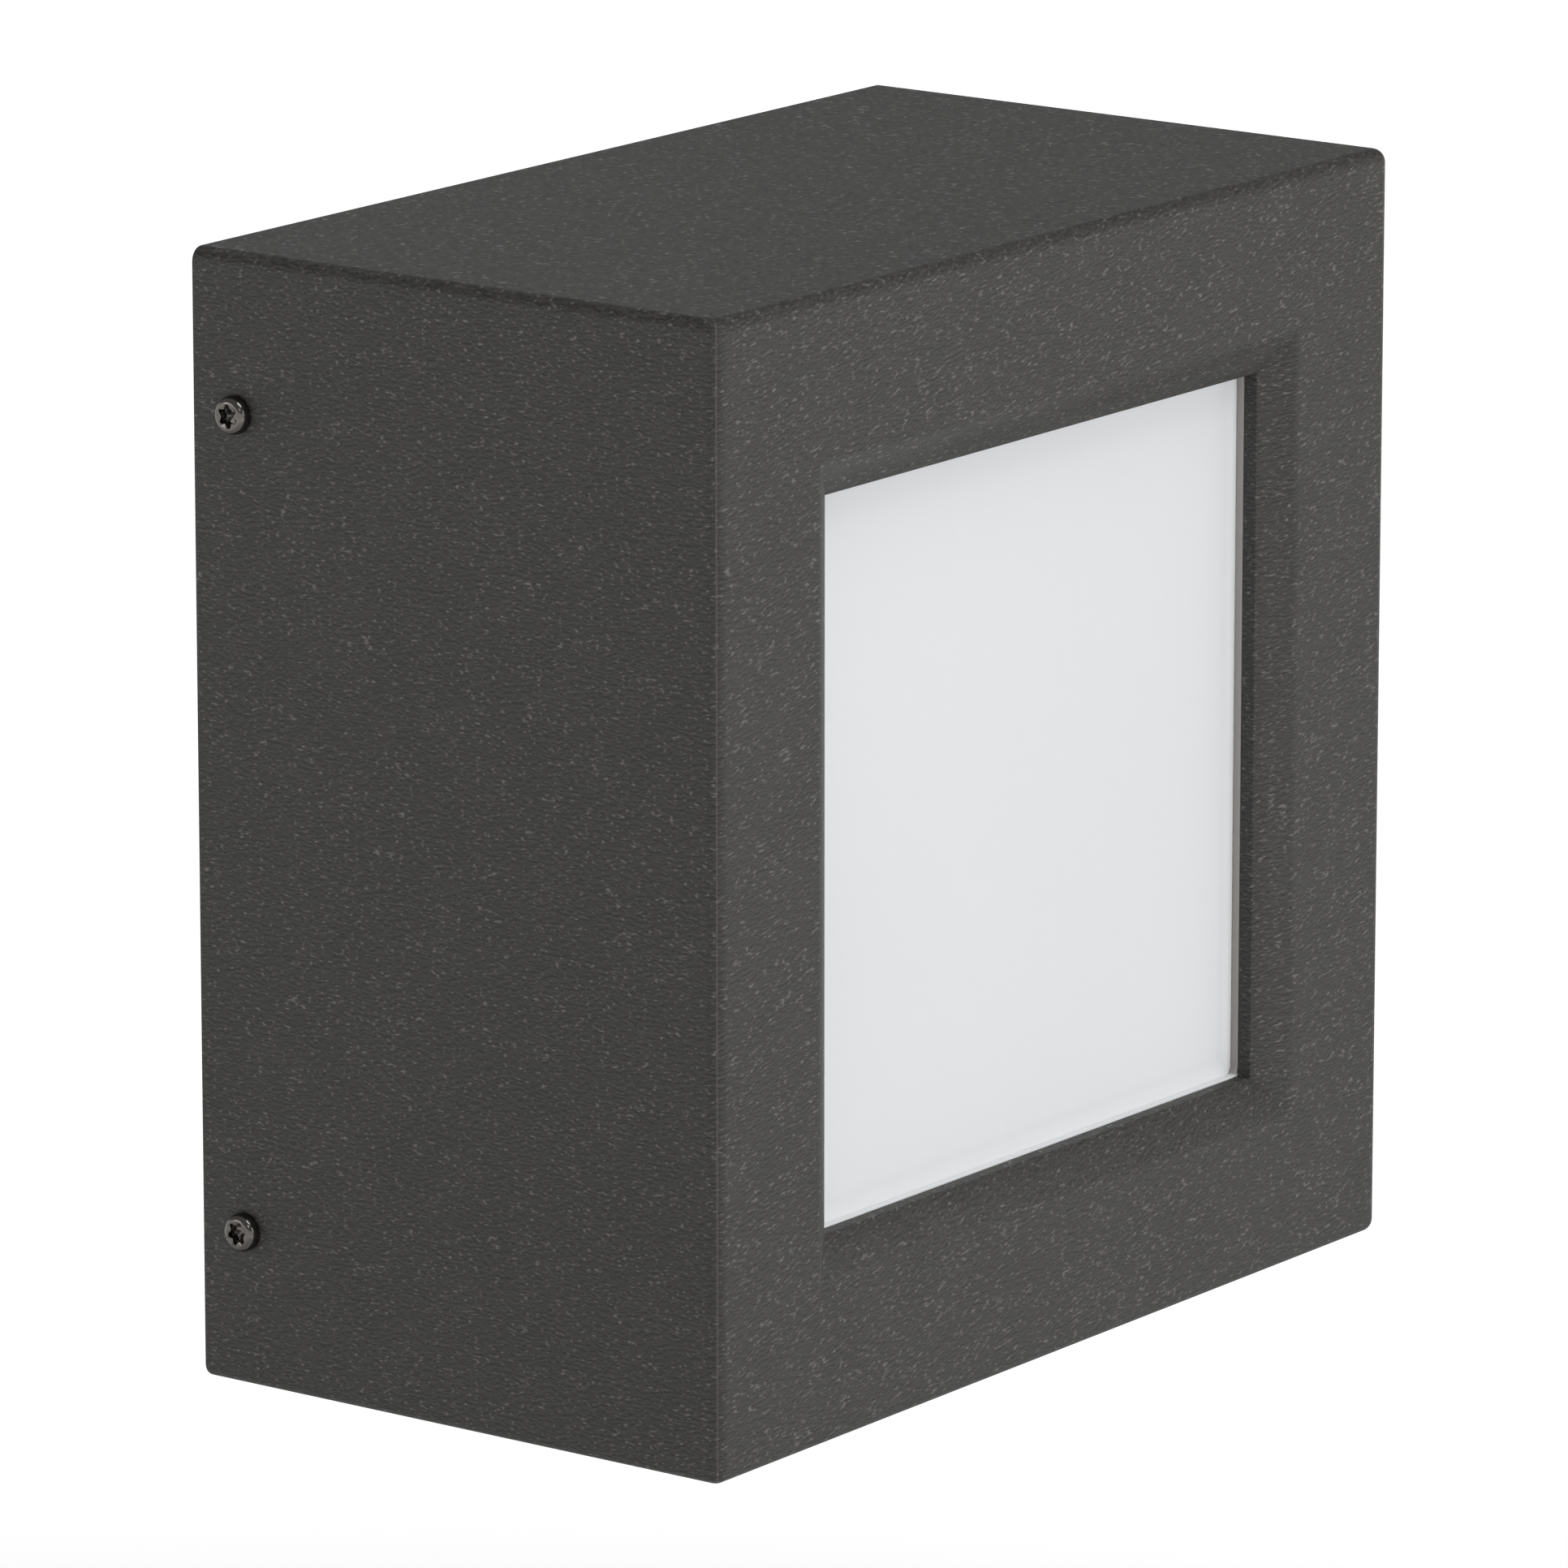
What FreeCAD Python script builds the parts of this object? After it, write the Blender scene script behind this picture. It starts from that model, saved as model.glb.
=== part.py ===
import math
import os

import FreeCAD
import Part

# Square outdoor wall lantern, in millimetres.
#
# Frame: X to the right seen from the front, Y from the front towards the wall, Z up.
# The wall is the plane Y = 0, the lantern stands out of it towards -Y, and the origin is the
# middle of the cable entry, in the wall plane. The whole object is centred on X = 0 and Z = 0.

V = FreeCAD.Vector
X_AXIS = V(1, 0, 0)
Y_AXIS = V(0, 1, 0)
Z_AXIS = V(0, 0, 1)

# ---- driving dimensions: cover casting -----------------------------------------------------
case_width = 240.0          # across X
case_height = 240.0         # along Z
case_depth = 135.0          # from the wall to the front face
rim_gap = 1.0               # between the cover's open rim and the wall
case_wall = 3.5             # wall of the casting
edge_radius = 3.0           # outer edges of the casting
inner_corner_radius = 2.0   # inside corners of the casting and outer corners of the tray
window_width = 154.4        # clear opening of the window
window_height = 154.4
bevel_run = 8.2             # sloped border of the window, measured across the front face
bevel_drop = 5.0            # sloped border of the window, measured into the case
jamb_depth = 3.2            # straight part of the window's edge behind the slope
lip_width = 12.0            # thick border behind the front face, outwards from the opening

# ---- glass and what holds it ---------------------------------------------------------------
gasket_thickness = 1.8
glass_thickness = 4.0
glass_overlap = 8.0         # glass beyond the opening on each side
glass_corner_radius = 2.0
glass_side_clearance = 0.5  # between the glass edge and the bosses that place it
boss_radius = 4.5
boss_spacing = 36.0         # two bosses on each side of the window
clip_pad_thickness = 0.6
clip_thickness = 1.2
clip_reach = 6.0            # clip over the glass
clip_end = 9.0              # clip beyond its screws
clip_screw_radius = 1.5     # M3
clip_screw_length = 8.0
clip_hole_spare = 1.0       # blind hole beyond the screw's end
small_head_radius = 2.8
small_head_height = 2.0

# ---- side screws, M4 pan head with a six-lobe socket ---------------------------------------
screw_radius = 2.0
screw_length = 12.0
screw_head_radius = 3.9
screw_head_height = 2.6
screw_socket_radius = 1.95  # over the lobes
screw_socket_depth = 1.6
socket_lobe_share = 0.27    # radius of one lobe over that of the whole socket
socket_core_share = 0.98    # core between the lobes
screw_from_rim = 11.2       # axis from the cover's open rim
screw_from_end = 33.5       # axis from the top and bottom of the cover
nut_across = 7.0
nut_thickness = 3.2

# ---- base plate and its seals --------------------------------------------------------------
wall_gasket_thickness = 2.0
wall_gasket_width = 12.0
base_sheet = 2.0
tray_inner_radius = 1.0
base_flange_depth = 20.0    # flange in front of the sheet
base_side_clearance = 0.5   # between the flange and the inside of the cover
wall_slot_spacing_x = 170.0
wall_slot_spacing_z = 170.0
wall_slot_width = 5.5
wall_slot_length = 12.0

# ---- cable grommet -------------------------------------------------------------------------
cable_bore_radius = 4.5
grommet_neck_radius = 11.0
grommet_flange = 3.0        # flange beyond the neck
grommet_flange_thickness = 2.5
grommet_nose_length = 9.5
grommet_nose_wall = 2.0

# ---- lamp, E27 -----------------------------------------------------------------------------
lamp_axis_from_wall = 62.0
lamp_contact_z = -75.7      # lowest point of the lamp
contact_gap = 0.3           # between the lamp's contact and the holder's
cap_thread_radius = 13.1
cap_wall = 0.8
cap_length = 23.0
lamp_contact_radius = 4.5
lamp_contact_thickness = 1.5
insulator_height = 4.2
insulator_tip_radius = 5.0
insulator_edge = 1.0        # cap's turned-in rim round the insulator
collar_height = 32.4
collar_top_radius = 25.0
collar_foot_radius = 14.5
collar_low_share = 0.3      # lower bend of the collar, as a share of its height
collar_low_flare = 3.0      # bend beyond the foot
collar_high_share = 0.75    # upper bend
collar_high_inset = 2.5     # bend inside the top
globe_radius = 30.0
globe_wall = 1.5

# ---- lampholder ----------------------------------------------------------------------------
holder_height = 48.0
holder_base_radius = 22.0
holder_base_height = 16.0
holder_floor_spare = 2.0    # floor of the bore above the top of the base
holder_skirt_radius = 19.5
shell_clearance = 0.3       # between the cap's thread and the holder's
shell_wall = 0.75
shell_length = 26.0
holder_contact_radius = 4.0
holder_contact_thickness = 2.0
holder_boss_width = 22.0
holder_boss_height = 18.0
holder_boss_reach = 24.0    # from the lamp's axis towards the wall
holder_screw_radius = 1.5
holder_screw_offset = 16.0
holder_screw_grip = 10.0
holder_screw_spare = 1.0    # blind hole beyond the screw's end

# ---- bracket that carries the lampholder ---------------------------------------------------
bracket_sheet = 2.0
bracket_width = 46.0
bracket_foot_height = 36.0
bracket_overhang = 24.0     # shelf beyond the lamp's axis
bracket_bend_radius = 2.0
bracket_screw_offset = 13.0
bracket_screw_drop = 10.0   # from the top of the foot
bracket_screw_radius = 2.0
bracket_head_radius = 3.8
bracket_head_height = 2.4

# ---- terminal block ------------------------------------------------------------------------
pole_count = 3
pole_pitch = 10.0
pole_width = 8.4
block_length = 17.0
block_height = 18.0
web_height = 8.0            # joins the poles
ear_length = 7.0            # screwed ear at each end
ear_thickness = 4.0
block_x = 55.0              # middle of the block
block_bottom_z = -28.0
clamp_across = 5.2
clamp_length = 13.0
clamp_bore_radius = 1.0
clamp_axis_height = 10.0    # wire axis in front of the base sheet
clamp_screw_radius = 1.6
clamp_screw_sink = 1.0      # below the face of the block
clamp_screw_edge = 4.2      # from the end of the block
clamp_slot_depth = 0.8      # screwdriver slot
clamp_slot_width = 0.6
block_screw_radius = 1.5

# ---- earth connection ----------------------------------------------------------------------
earth_z = -90.0
earth_screw_radius = 2.0
earth_head_radius = 3.8
earth_head_height = 2.4
washer_radius = 4.6
washer_thickness = 0.8
ring_radius = 4.2
ring_thickness = 0.8
barrel_radius = 1.9
barrel_length = 8.0
barrel_from_ring = 6.0      # barrel's near end from the screw's axis
barrel_sink = 0.3           # barrel let into its tongue

# ---- internal leads ------------------------------------------------------------------------
lead_radius = 1.2
lead_arc_share = 0.45       # arc's tangent length as a share of the shorter run
line_entry_z = -82.0
neutral_entry_z = -90.0
entry_offset = 5.0          # lead entries from the lamp's axis
earth_drop_z = -44.0
earth_low_z = -62.0

# ---- pan-head form, shared by every screw --------------------------------------------------
pan_side_share = 0.45       # straight side, as a share of the head's height
pan_shoulder = (0.8, 0.85)  # bend of the crown, as shares of radius and height
pan_top_share = 0.45        # flat top, as a share of the radius

# ---- clearances shared by the fits ---------------------------------------------------------
fit = 0.05                  # radial, screw in its thread or a pressed piece in its seat
hole_clearance = 0.25       # radial, screw in a through hole
slot_clearance = 0.3        # radial, side screw in the base plate's slot

# ---- places that follow from the sizes -----------------------------------------------------
half_width = case_width / 2
half_height = case_height / 2
front_y = -case_depth
inner_front_y = front_y + case_wall
lip_back_y = front_y + bevel_drop + jamb_depth
glass_front_y = lip_back_y + gasket_thickness
glass_back_y = glass_front_y + glass_thickness
clip_front_y = glass_back_y + clip_pad_thickness
clip_back_y = clip_front_y + clip_thickness
glass_width = window_width + 2 * glass_overlap
glass_height = window_height + 2 * glass_overlap
boss_from_glass = glass_side_clearance + boss_radius

screw_y = -(rim_gap + screw_from_rim)
screw_z = half_height - screw_from_end

base_back_y = -wall_gasket_thickness
base_front_y = base_back_y - base_sheet
flange_front_y = base_front_y - base_flange_depth
base_width = case_width - 2 * (case_wall + base_side_clearance)
base_height = case_height - 2 * (case_wall + base_side_clearance)

lamp_y = -lamp_axis_from_wall
cap_bottom_z = lamp_contact_z + lamp_contact_thickness + insulator_height
cap_top_z = cap_bottom_z + cap_length
collar_top_z = cap_top_z + collar_height
globe_centre_z = collar_top_z + math.sqrt(globe_radius ** 2 - collar_top_radius ** 2)
cap_inner_radius = cap_thread_radius - cap_wall

shell_inner_radius = cap_thread_radius + shell_clearance
shell_outer_radius = shell_inner_radius + shell_wall
holder_bore_radius = shell_outer_radius + fit
holder_floor_z = lamp_contact_z - contact_gap - holder_contact_thickness
holder_bottom_z = holder_floor_z - holder_base_height - holder_floor_spare
holder_top_z = holder_bottom_z + holder_height
holder_boss_y = lamp_y + holder_boss_reach

bracket_bottom_z = holder_bottom_z - bracket_sheet
bracket_foot_front_y = base_front_y - bracket_sheet
bracket_screw_z = holder_bottom_z + bracket_foot_height - bracket_screw_drop

block_front_y = base_front_y - block_height
ear_front_y = base_front_y - ear_thickness
block_top_z = block_bottom_z + block_length
block_middle_z = block_bottom_z + block_length / 2
clamp_y = base_front_y - clamp_axis_height
clamp_bottom_z = block_middle_z - clamp_length / 2
pole_xs = [block_x + (i - (pole_count - 1) / 2) * pole_pitch for i in range(pole_count)]
ear_reach = (pole_xs[-1] - pole_xs[0] + pole_width + ear_length) / 2
block_screw_xs = [block_x - ear_reach, block_x + ear_reach]

washer_front_y = base_front_y - washer_thickness
ring_front_y = washer_front_y - ring_thickness
barrel_y = ring_front_y - barrel_radius + barrel_sink
barrel_bottom_z = earth_z + barrel_from_ring
barrel_top_z = barrel_bottom_z + barrel_length
earth_x = pole_xs[-1]


# ---- shape helpers -------------------------------------------------------------------------
def block(x0, x1, y0, y1, z0, z1):
    """Box between two values on each axis."""
    return Part.makeBox(x1 - x0, y1 - y0, z1 - z0, V(x0, y0, z0))


def rod(radius, start, axis, length):
    """Solid cylinder from a point along an axis."""
    return Part.makeCylinder(radius, length, start, axis)


def pipe(outer, inner, start, axis, length):
    """Straight tube."""
    return rod(outer, start, axis, length).cut(rod(inner, start, axis, length))


def edges_along(shape, axis):
    """Straight edges of a shape that run along an axis."""
    found = []
    for edge in shape.Edges:
        way = edge.Vertexes[-1].Point - edge.Vertexes[0].Point
        if len(edge.Vertexes) == 2 and abs(abs(way.dot(axis)) - way.Length) < 1e-6:
            found.append(edge)
    return found


def panel(width, height, y0, y1, radius):
    """Upright rectangular panel centred on the Y axis, with rounded corners."""
    plain = block(-width / 2, width / 2, y0, y1, -height / 2, height / 2)
    return plain.makeFillet(radius, edges_along(plain, Y_AXIS))


def panel_frame(width, height, border, y0, y1, radius, inner_radius):
    """Rectangular ring: a panel with a smaller panel taken out of it."""
    hole = panel(width - 2 * border, height - 2 * border, y0, y1, inner_radius)
    return panel(width, height, y0, y1, radius).cut(hole)


def slot_x(width, length, centre, depth):
    """Round-ended slot along X, cut from a point towards +Y."""
    reach = (length - width) / 2
    bar = block(centre.x - reach, centre.x + reach, centre.y, centre.y + depth,
                centre.z - width / 2, centre.z + width / 2)
    for side in (-1, 1):
        bar = bar.fuse(rod(width / 2, centre + V(side * reach, 0, 0), Y_AXIS, depth))
    return bar


def turned(points, centre, axis):
    """Solid of revolution. Points are (radius, distance along the axis) in a closed outline."""
    side = X_AXIS if abs(axis.x) < 0.5 else Y_AXIS
    corners = [centre + side * r + axis * h for r, h in points]
    outline = Part.makePolygon(corners + [corners[0]])
    return Part.Face(outline).revolve(centre, axis, 360)


def pan_screw(seat, way, radius, length, head_radius, head_height):
    """Pan-head screw: the shank runs from its seat along way, and the head stands behind."""
    crown = [(0, 0), (head_radius, 0), (head_radius, head_height * pan_side_share),
             (head_radius * pan_shoulder[0], head_height * pan_shoulder[1]),
             (head_radius * pan_top_share, head_height), (0, head_height)]
    return rod(radius, seat, way, length).fuse(turned(crown, seat, way * -1))


def tapered_plug(width0, height0, y0, width1, height1, y1):
    """Four-sided plug that tapers from one rectangle to another."""
    rings = []
    for width, height, y in ((width0, height0, y0), (width1, height1, y1)):
        w = width / 2
        h = height / 2
        rings.append(Part.makePolygon([V(-w, y, -h), V(w, y, -h), V(w, y, h), V(-w, y, h),
                                       V(-w, y, -h)]))
    return Part.makeLoft(rings, True, True)


def swept(points, radius):
    """Round lead through points: straight runs joined by tangent arcs. Returns solid, length."""
    edges = []
    radii = []
    here = points[0]
    for before, corner, after in zip(points, points[1:], points[2:]):
        way_in = (corner - before).normalize()
        way_out = (after - corner).normalize()
        half_turn = way_in.getAngle(way_out) / 2
        tangent = lead_arc_share * min((corner - before).Length, (after - corner).Length)
        bend = tangent / math.tan(half_turn)
        start = corner - way_in * tangent
        finish = corner + way_out * tangent
        inward = (way_out - way_in).normalize()
        middle = corner + inward * (bend / math.cos(half_turn) - bend)
        edges.append(Part.LineSegment(here, start).toShape())
        edges.append(Part.Arc(start, middle, finish).toShape())
        radii.append(bend)
        here = finish
    edges.append(Part.LineSegment(here, points[-1]).toShape())
    path = Part.Wire(edges)
    section = Part.Wire([Part.makeCircle(radius, points[0], points[1] - points[0])])
    solid = path.makePipeShell([section], True, False)
    share = solid.Volume / (math.pi * radius ** 2 * path.Length)
    print("lead bends", [round(r, 1) for r in radii], "length", round(path.Length, 1),
          "volume over section times length", round(share, 4))
    return solid


def export(name, shapes):
    """Write one node. Several shapes make a group of separate solids."""
    shape = shapes if not isinstance(shapes, list) else Part.makeCompound(shapes)
    assert shape.isValid(), name
    shape.exportStep("parts/" + name + ".step")


# ---- cover -----------------------------------------------------------------------------------
def boss_places():
    """Axis of each glass boss as (x, z, outward direction)."""
    places = []
    for side in (-1, 1):
        for step in (-0.5, 0.5):
            along = step * boss_spacing
            places.append((along, side * (glass_height / 2 + boss_from_glass), V(0, 0, side)))
            places.append((side * (glass_width / 2 + boss_from_glass), along, V(side, 0, 0)))
    return places


def side_screw_places():
    """Name, seat on the cover's side and inward direction of each side screw."""
    places = []
    for side, name in ((-1, "left"), (1, "right")):
        for level, height in ((-1, "lower"), (1, "upper")):
            seat = V(side * half_width, screw_y, level * screw_z)
            places.append(("side_screw_" + name + "_" + height, seat, V(-side, 0, 0)))
    return places


def cover_shell():
    """Casting: five-sided box with a bevelled window, a thick border behind it and bosses."""
    rim_y = -rim_gap
    outer = block(-half_width, half_width, front_y, rim_y, -half_height, half_height)
    rim = [e for e in outer.Edges if all(abs(v.Point.y - rim_y) < 1e-6 for v in e.Vertexes)]
    outer = outer.makeFillet(edge_radius, [e for e in outer.Edges
                                           if not any(e.isSame(r) for r in rim)])
    shell = outer.cut(panel(case_width - 2 * case_wall, case_height - 2 * case_wall,
                            inner_front_y, rim_y, inner_corner_radius))
    border = panel(window_width + 2 * lip_width, window_height + 2 * lip_width,
                   inner_front_y, lip_back_y, inner_corner_radius)
    shell = shell.fuse(border)
    for x, z, _ in boss_places():
        boss = rod(boss_radius, V(x, inner_front_y, z), Y_AXIS, clip_front_y - inner_front_y)
        shell = shell.fuse(boss)
    shell = shell.cut(tapered_plug(window_width + 2 * bevel_run, window_height + 2 * bevel_run,
                                   front_y, window_width, window_height, front_y + bevel_drop))
    shell = shell.cut(block(-window_width / 2, window_width / 2, front_y, lip_back_y,
                            -window_height / 2, window_height / 2))
    for x, z, _ in boss_places():
        depth = clip_screw_length - clip_thickness + clip_hole_spare
        shell = shell.cut(rod(clip_screw_radius + fit, V(x, clip_front_y - depth, z),
                              Y_AXIS, depth))
    for _, seat, way in side_screw_places():
        shell = shell.cut(rod(screw_radius + hole_clearance, seat, way, case_wall))
    return shell.removeSplitter()


def glass_gasket():
    """Silicone frame between the border and the glass; its inner edge shows at the window."""
    opening = panel(window_width, window_height, lip_back_y, glass_front_y, glass_corner_radius)
    whole = panel(glass_width, glass_height, lip_back_y, glass_front_y, glass_corner_radius)
    return whole.cut(opening)


def glass_clip(side):
    """Flat steel clip on two bosses, reaching over the glass. Side is its outward direction."""
    length = boss_spacing + 2 * clip_end
    if abs(side.x) > 0.5:
        edge = glass_width / 2
    else:
        edge = glass_height / 2
    near = edge - clip_reach
    far = edge + boss_from_glass + boss_radius
    clip = block(-length / 2, length / 2, clip_front_y, clip_back_y, near, far)
    clip = clip.makeFillet(glass_corner_radius, edges_along(clip, Y_AXIS))
    for step in (-0.5, 0.5):
        clip = clip.cut(rod(clip_screw_radius + hole_clearance,
                            V(step * boss_spacing, clip_front_y, edge + boss_from_glass),
                            Y_AXIS, clip_thickness))
    clip.rotate(V(0, 0, 0), Y_AXIS, math.degrees(math.atan2(side.x, side.z)))
    return clip


def clip_pads():
    """Silicone strips between the clips and the glass."""
    pads = []
    length = boss_spacing + 2 * clip_end
    for quarter in range(4):
        edge = (glass_height if quarter % 2 == 0 else glass_width) / 2
        pad = block(-length / 2, length / 2, glass_back_y, clip_front_y, edge - clip_reach, edge)
        pad.rotate(V(0, 0, 0), Y_AXIS, 90 * quarter)
        pads.append(pad)
    return pads


def clip_screws():
    """Two screws in each clip, in the bosses' blind holes."""
    return [pan_screw(V(x, clip_back_y, z), V(0, -1, 0), clip_screw_radius, clip_screw_length,
                      small_head_radius, small_head_height) for x, z, _ in boss_places()]


def six_lobe_socket(bottom, way, depth):
    """Six-lobe recess that opens along way."""
    lobe = screw_socket_radius * socket_lobe_share
    core = screw_socket_radius - lobe
    socket = rod(core * socket_core_share, bottom, way, depth)
    for turn in range(6):
        angle = turn * math.pi / 3
        offset = V(0, math.cos(angle), math.sin(angle)) * core
        socket = socket.fuse(rod(lobe, bottom + offset, way, depth))
    return socket


def side_screw(seat, way):
    """Side screw: domed pan head outside the cover and an M4 shank through it."""
    screw = pan_screw(seat, way, screw_radius, screw_length, screw_head_radius,
                      screw_head_height)
    out = way * -1
    bottom = seat + out * (screw_head_height - screw_socket_depth)
    return screw.cut(six_lobe_socket(bottom, out, screw_socket_depth + fit))


def clamp_nuts():
    """Square nuts on the side screws, behind the base plate's flanges."""
    nuts = []
    for _, seat, way in side_screw_places():
        face = seat + way * (case_wall + base_side_clearance + base_sheet)
        end = face + way * nut_thickness
        nut = block(min(face.x, end.x), max(face.x, end.x),
                    face.y - nut_across / 2, face.y + nut_across / 2,
                    face.z - nut_across / 2, face.z + nut_across / 2)
        nuts.append(nut.cut(rod(screw_radius + fit, face, way, nut_thickness)))
    return nuts


# ---- base ------------------------------------------------------------------------------------
def wall_slot_centres():
    """Nominal centres of the wall-fixing slots, on the back of the base sheet."""
    return [V(sx * wall_slot_spacing_x / 2, base_front_y, sz * wall_slot_spacing_z / 2)
            for sx in (-1, 1) for sz in (-1, 1)]


def base_plate():
    """Tray behind the cover, with holes for all that is screwed to it or passes through it."""
    tray = panel(base_width, base_height, flange_front_y, base_back_y, inner_corner_radius)
    tray = tray.cut(panel(base_width - 2 * base_sheet, base_height - 2 * base_sheet,
                          flange_front_y, base_front_y, tray_inner_radius))
    tray = tray.cut(rod(grommet_neck_radius + fit, V(0, base_front_y, 0), Y_AXIS, base_sheet))
    for centre in wall_slot_centres():
        tray = tray.cut(slot_x(wall_slot_width, wall_slot_length, centre, base_sheet))
    for x in (-bracket_screw_offset, bracket_screw_offset):
        tray = tray.cut(rod(bracket_screw_radius + fit, V(x, base_front_y, bracket_screw_z),
                            Y_AXIS, base_sheet))
    for x in block_screw_xs:
        tray = tray.cut(rod(block_screw_radius + fit, V(x, base_front_y, block_middle_z),
                            Y_AXIS, base_sheet))
    tray = tray.cut(rod(earth_screw_radius + fit, V(earth_x, base_front_y, earth_z),
                        Y_AXIS, base_sheet))
    slot = screw_radius + slot_clearance
    for _, seat, way in side_screw_places():
        face = seat + way * (case_wall + base_side_clearance)
        end = face + way * base_sheet
        tray = tray.cut(rod(slot, face, way, base_sheet))
        tray = tray.cut(block(min(face.x, end.x), max(face.x, end.x), flange_front_y, face.y,
                              face.z - slot, face.z + slot))
    return tray.removeSplitter()


def cable_grommet():
    """Rubber grommet gripped in the base sheet, with a tapered nose inside the lantern."""
    flange = grommet_neck_radius + grommet_flange
    nose = cable_bore_radius + grommet_nose_wall
    front = wall_gasket_thickness + base_sheet
    outline = [(cable_bore_radius, 0), (flange, 0), (flange, wall_gasket_thickness),
               (grommet_neck_radius, wall_gasket_thickness), (grommet_neck_radius, front),
               (flange, front), (flange, front + grommet_flange_thickness),
               (nose + grommet_flange, front + grommet_flange_thickness),
               (nose, front + grommet_flange_thickness + grommet_nose_length),
               (cable_bore_radius, front + grommet_flange_thickness + grommet_nose_length)]
    return turned(outline, V(0, 0, 0), V(0, -1, 0))


def lampholder_bracket():
    """Bent steel angle: a foot on the base sheet and a shelf under the lampholder."""
    half = bracket_width / 2
    shelf = block(-half, half, lamp_y - bracket_overhang, base_front_y,
                  bracket_bottom_z, holder_bottom_z)
    foot = block(-half, half, bracket_foot_front_y, base_front_y,
                 bracket_bottom_z, holder_bottom_z + bracket_foot_height)
    angle = shelf.fuse(foot).removeSplitter()
    bends = [e for e in edges_along(angle, X_AXIS)
             if abs(e.Vertexes[0].Point.z - holder_bottom_z) < 1e-6
             and abs(e.Vertexes[0].Point.y - bracket_foot_front_y) < 1e-6]
    angle = angle.makeFillet(bracket_bend_radius, bends)
    for x in (-bracket_screw_offset, bracket_screw_offset):
        angle = angle.cut(rod(bracket_screw_radius + hole_clearance,
                              V(x, bracket_foot_front_y, bracket_screw_z), Y_AXIS,
                              bracket_sheet))
    for x in (-holder_screw_offset, holder_screw_offset):
        angle = angle.cut(rod(holder_screw_radius + hole_clearance,
                              V(x, lamp_y, bracket_bottom_z), Z_AXIS, bracket_sheet))
    return angle


def bracket_screws():
    """Two screws that hold the bracket to the base sheet."""
    return [pan_screw(V(x, bracket_foot_front_y, bracket_screw_z), Y_AXIS,
                      bracket_screw_radius, bracket_sheet + base_sheet,
                      bracket_head_radius, bracket_head_height)
            for x in (-bracket_screw_offset, bracket_screw_offset)]


def lampholder_body():
    """Ceramic lampholder: stepped cylinder with a wiring boss at the back."""
    foot = V(0, lamp_y, holder_bottom_z)
    body = rod(holder_base_radius, foot, Z_AXIS, holder_base_height)
    body = body.fuse(rod(holder_skirt_radius, foot, Z_AXIS, holder_height))
    body = body.fuse(block(-holder_boss_width / 2, holder_boss_width / 2, lamp_y, holder_boss_y,
                           holder_bottom_z, holder_bottom_z + holder_boss_height))
    body = body.cut(rod(holder_bore_radius, V(0, lamp_y, holder_floor_z), Z_AXIS,
                        holder_top_z - holder_floor_z))
    for x in (-holder_screw_offset, holder_screw_offset):
        body = body.cut(rod(holder_screw_radius + fit, V(x, lamp_y, holder_bottom_z), Z_AXIS,
                            holder_screw_grip))
    return body


def lampholder_screws():
    """Two screws from under the shelf into the ceramic."""
    return [pan_screw(V(x, lamp_y, bracket_bottom_z), Z_AXIS, holder_screw_radius,
                      bracket_sheet + holder_screw_grip - holder_screw_spare,
                      small_head_radius, small_head_height)
            for x in (-holder_screw_offset, holder_screw_offset)]


def lampholder_shell():
    """Screw shell of the lampholder, standing on the ceramic's floor."""
    return pipe(shell_outer_radius, shell_inner_radius, V(0, lamp_y, holder_floor_z), Z_AXIS,
                shell_length)


def lampholder_contact():
    """Middle contact on the ceramic's floor."""
    return rod(holder_contact_radius, V(0, lamp_y, holder_floor_z), Z_AXIS,
               holder_contact_thickness)


def terminal_block():
    """Terminal housing: one tower for each pole, joined by a web, with an ear at each end."""
    body = block(pole_xs[0], pole_xs[-1], base_front_y - web_height, base_front_y,
                 block_bottom_z, block_top_z)
    tip = ear_reach + ear_length / 2
    body = body.fuse(block(block_x - tip, block_x + tip, ear_front_y, base_front_y,
                           block_middle_z - ear_length / 2, block_middle_z + ear_length / 2))
    for x in pole_xs:
        body = body.fuse(block(x - pole_width / 2, x + pole_width / 2, block_front_y,
                               base_front_y, block_bottom_z, block_top_z))
    cavity = clamp_across / 2 + fit
    for x in pole_xs:
        body = body.cut(block(x - cavity, x + cavity, clamp_y - cavity, clamp_y + cavity,
                              block_bottom_z, block_top_z))
        for z in clamp_screw_zs():
            body = body.cut(rod(clamp_screw_radius + fit, V(x, block_front_y, z), Y_AXIS,
                                clamp_y - block_front_y))
    for x in block_screw_xs:
        body = body.cut(rod(block_screw_radius + hole_clearance,
                            V(x, ear_front_y, block_middle_z), Y_AXIS, ear_thickness))
    return body.removeSplitter()


def clamp_screw_zs():
    """Heights of the two clamping screws of each pole."""
    return [block_bottom_z + clamp_screw_edge, block_top_z - clamp_screw_edge]


def terminal_clamps():
    """Brass clamping bars inside the terminal housing."""
    half = clamp_across / 2
    bars = []
    for x in pole_xs:
        bar = block(x - half, x + half, clamp_y - half, clamp_y + half,
                    clamp_bottom_z, clamp_bottom_z + clamp_length)
        bars.append(bar.cut(rod(clamp_bore_radius, V(x, clamp_y, clamp_bottom_z), Z_AXIS,
                                clamp_length)))
    return bars


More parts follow.
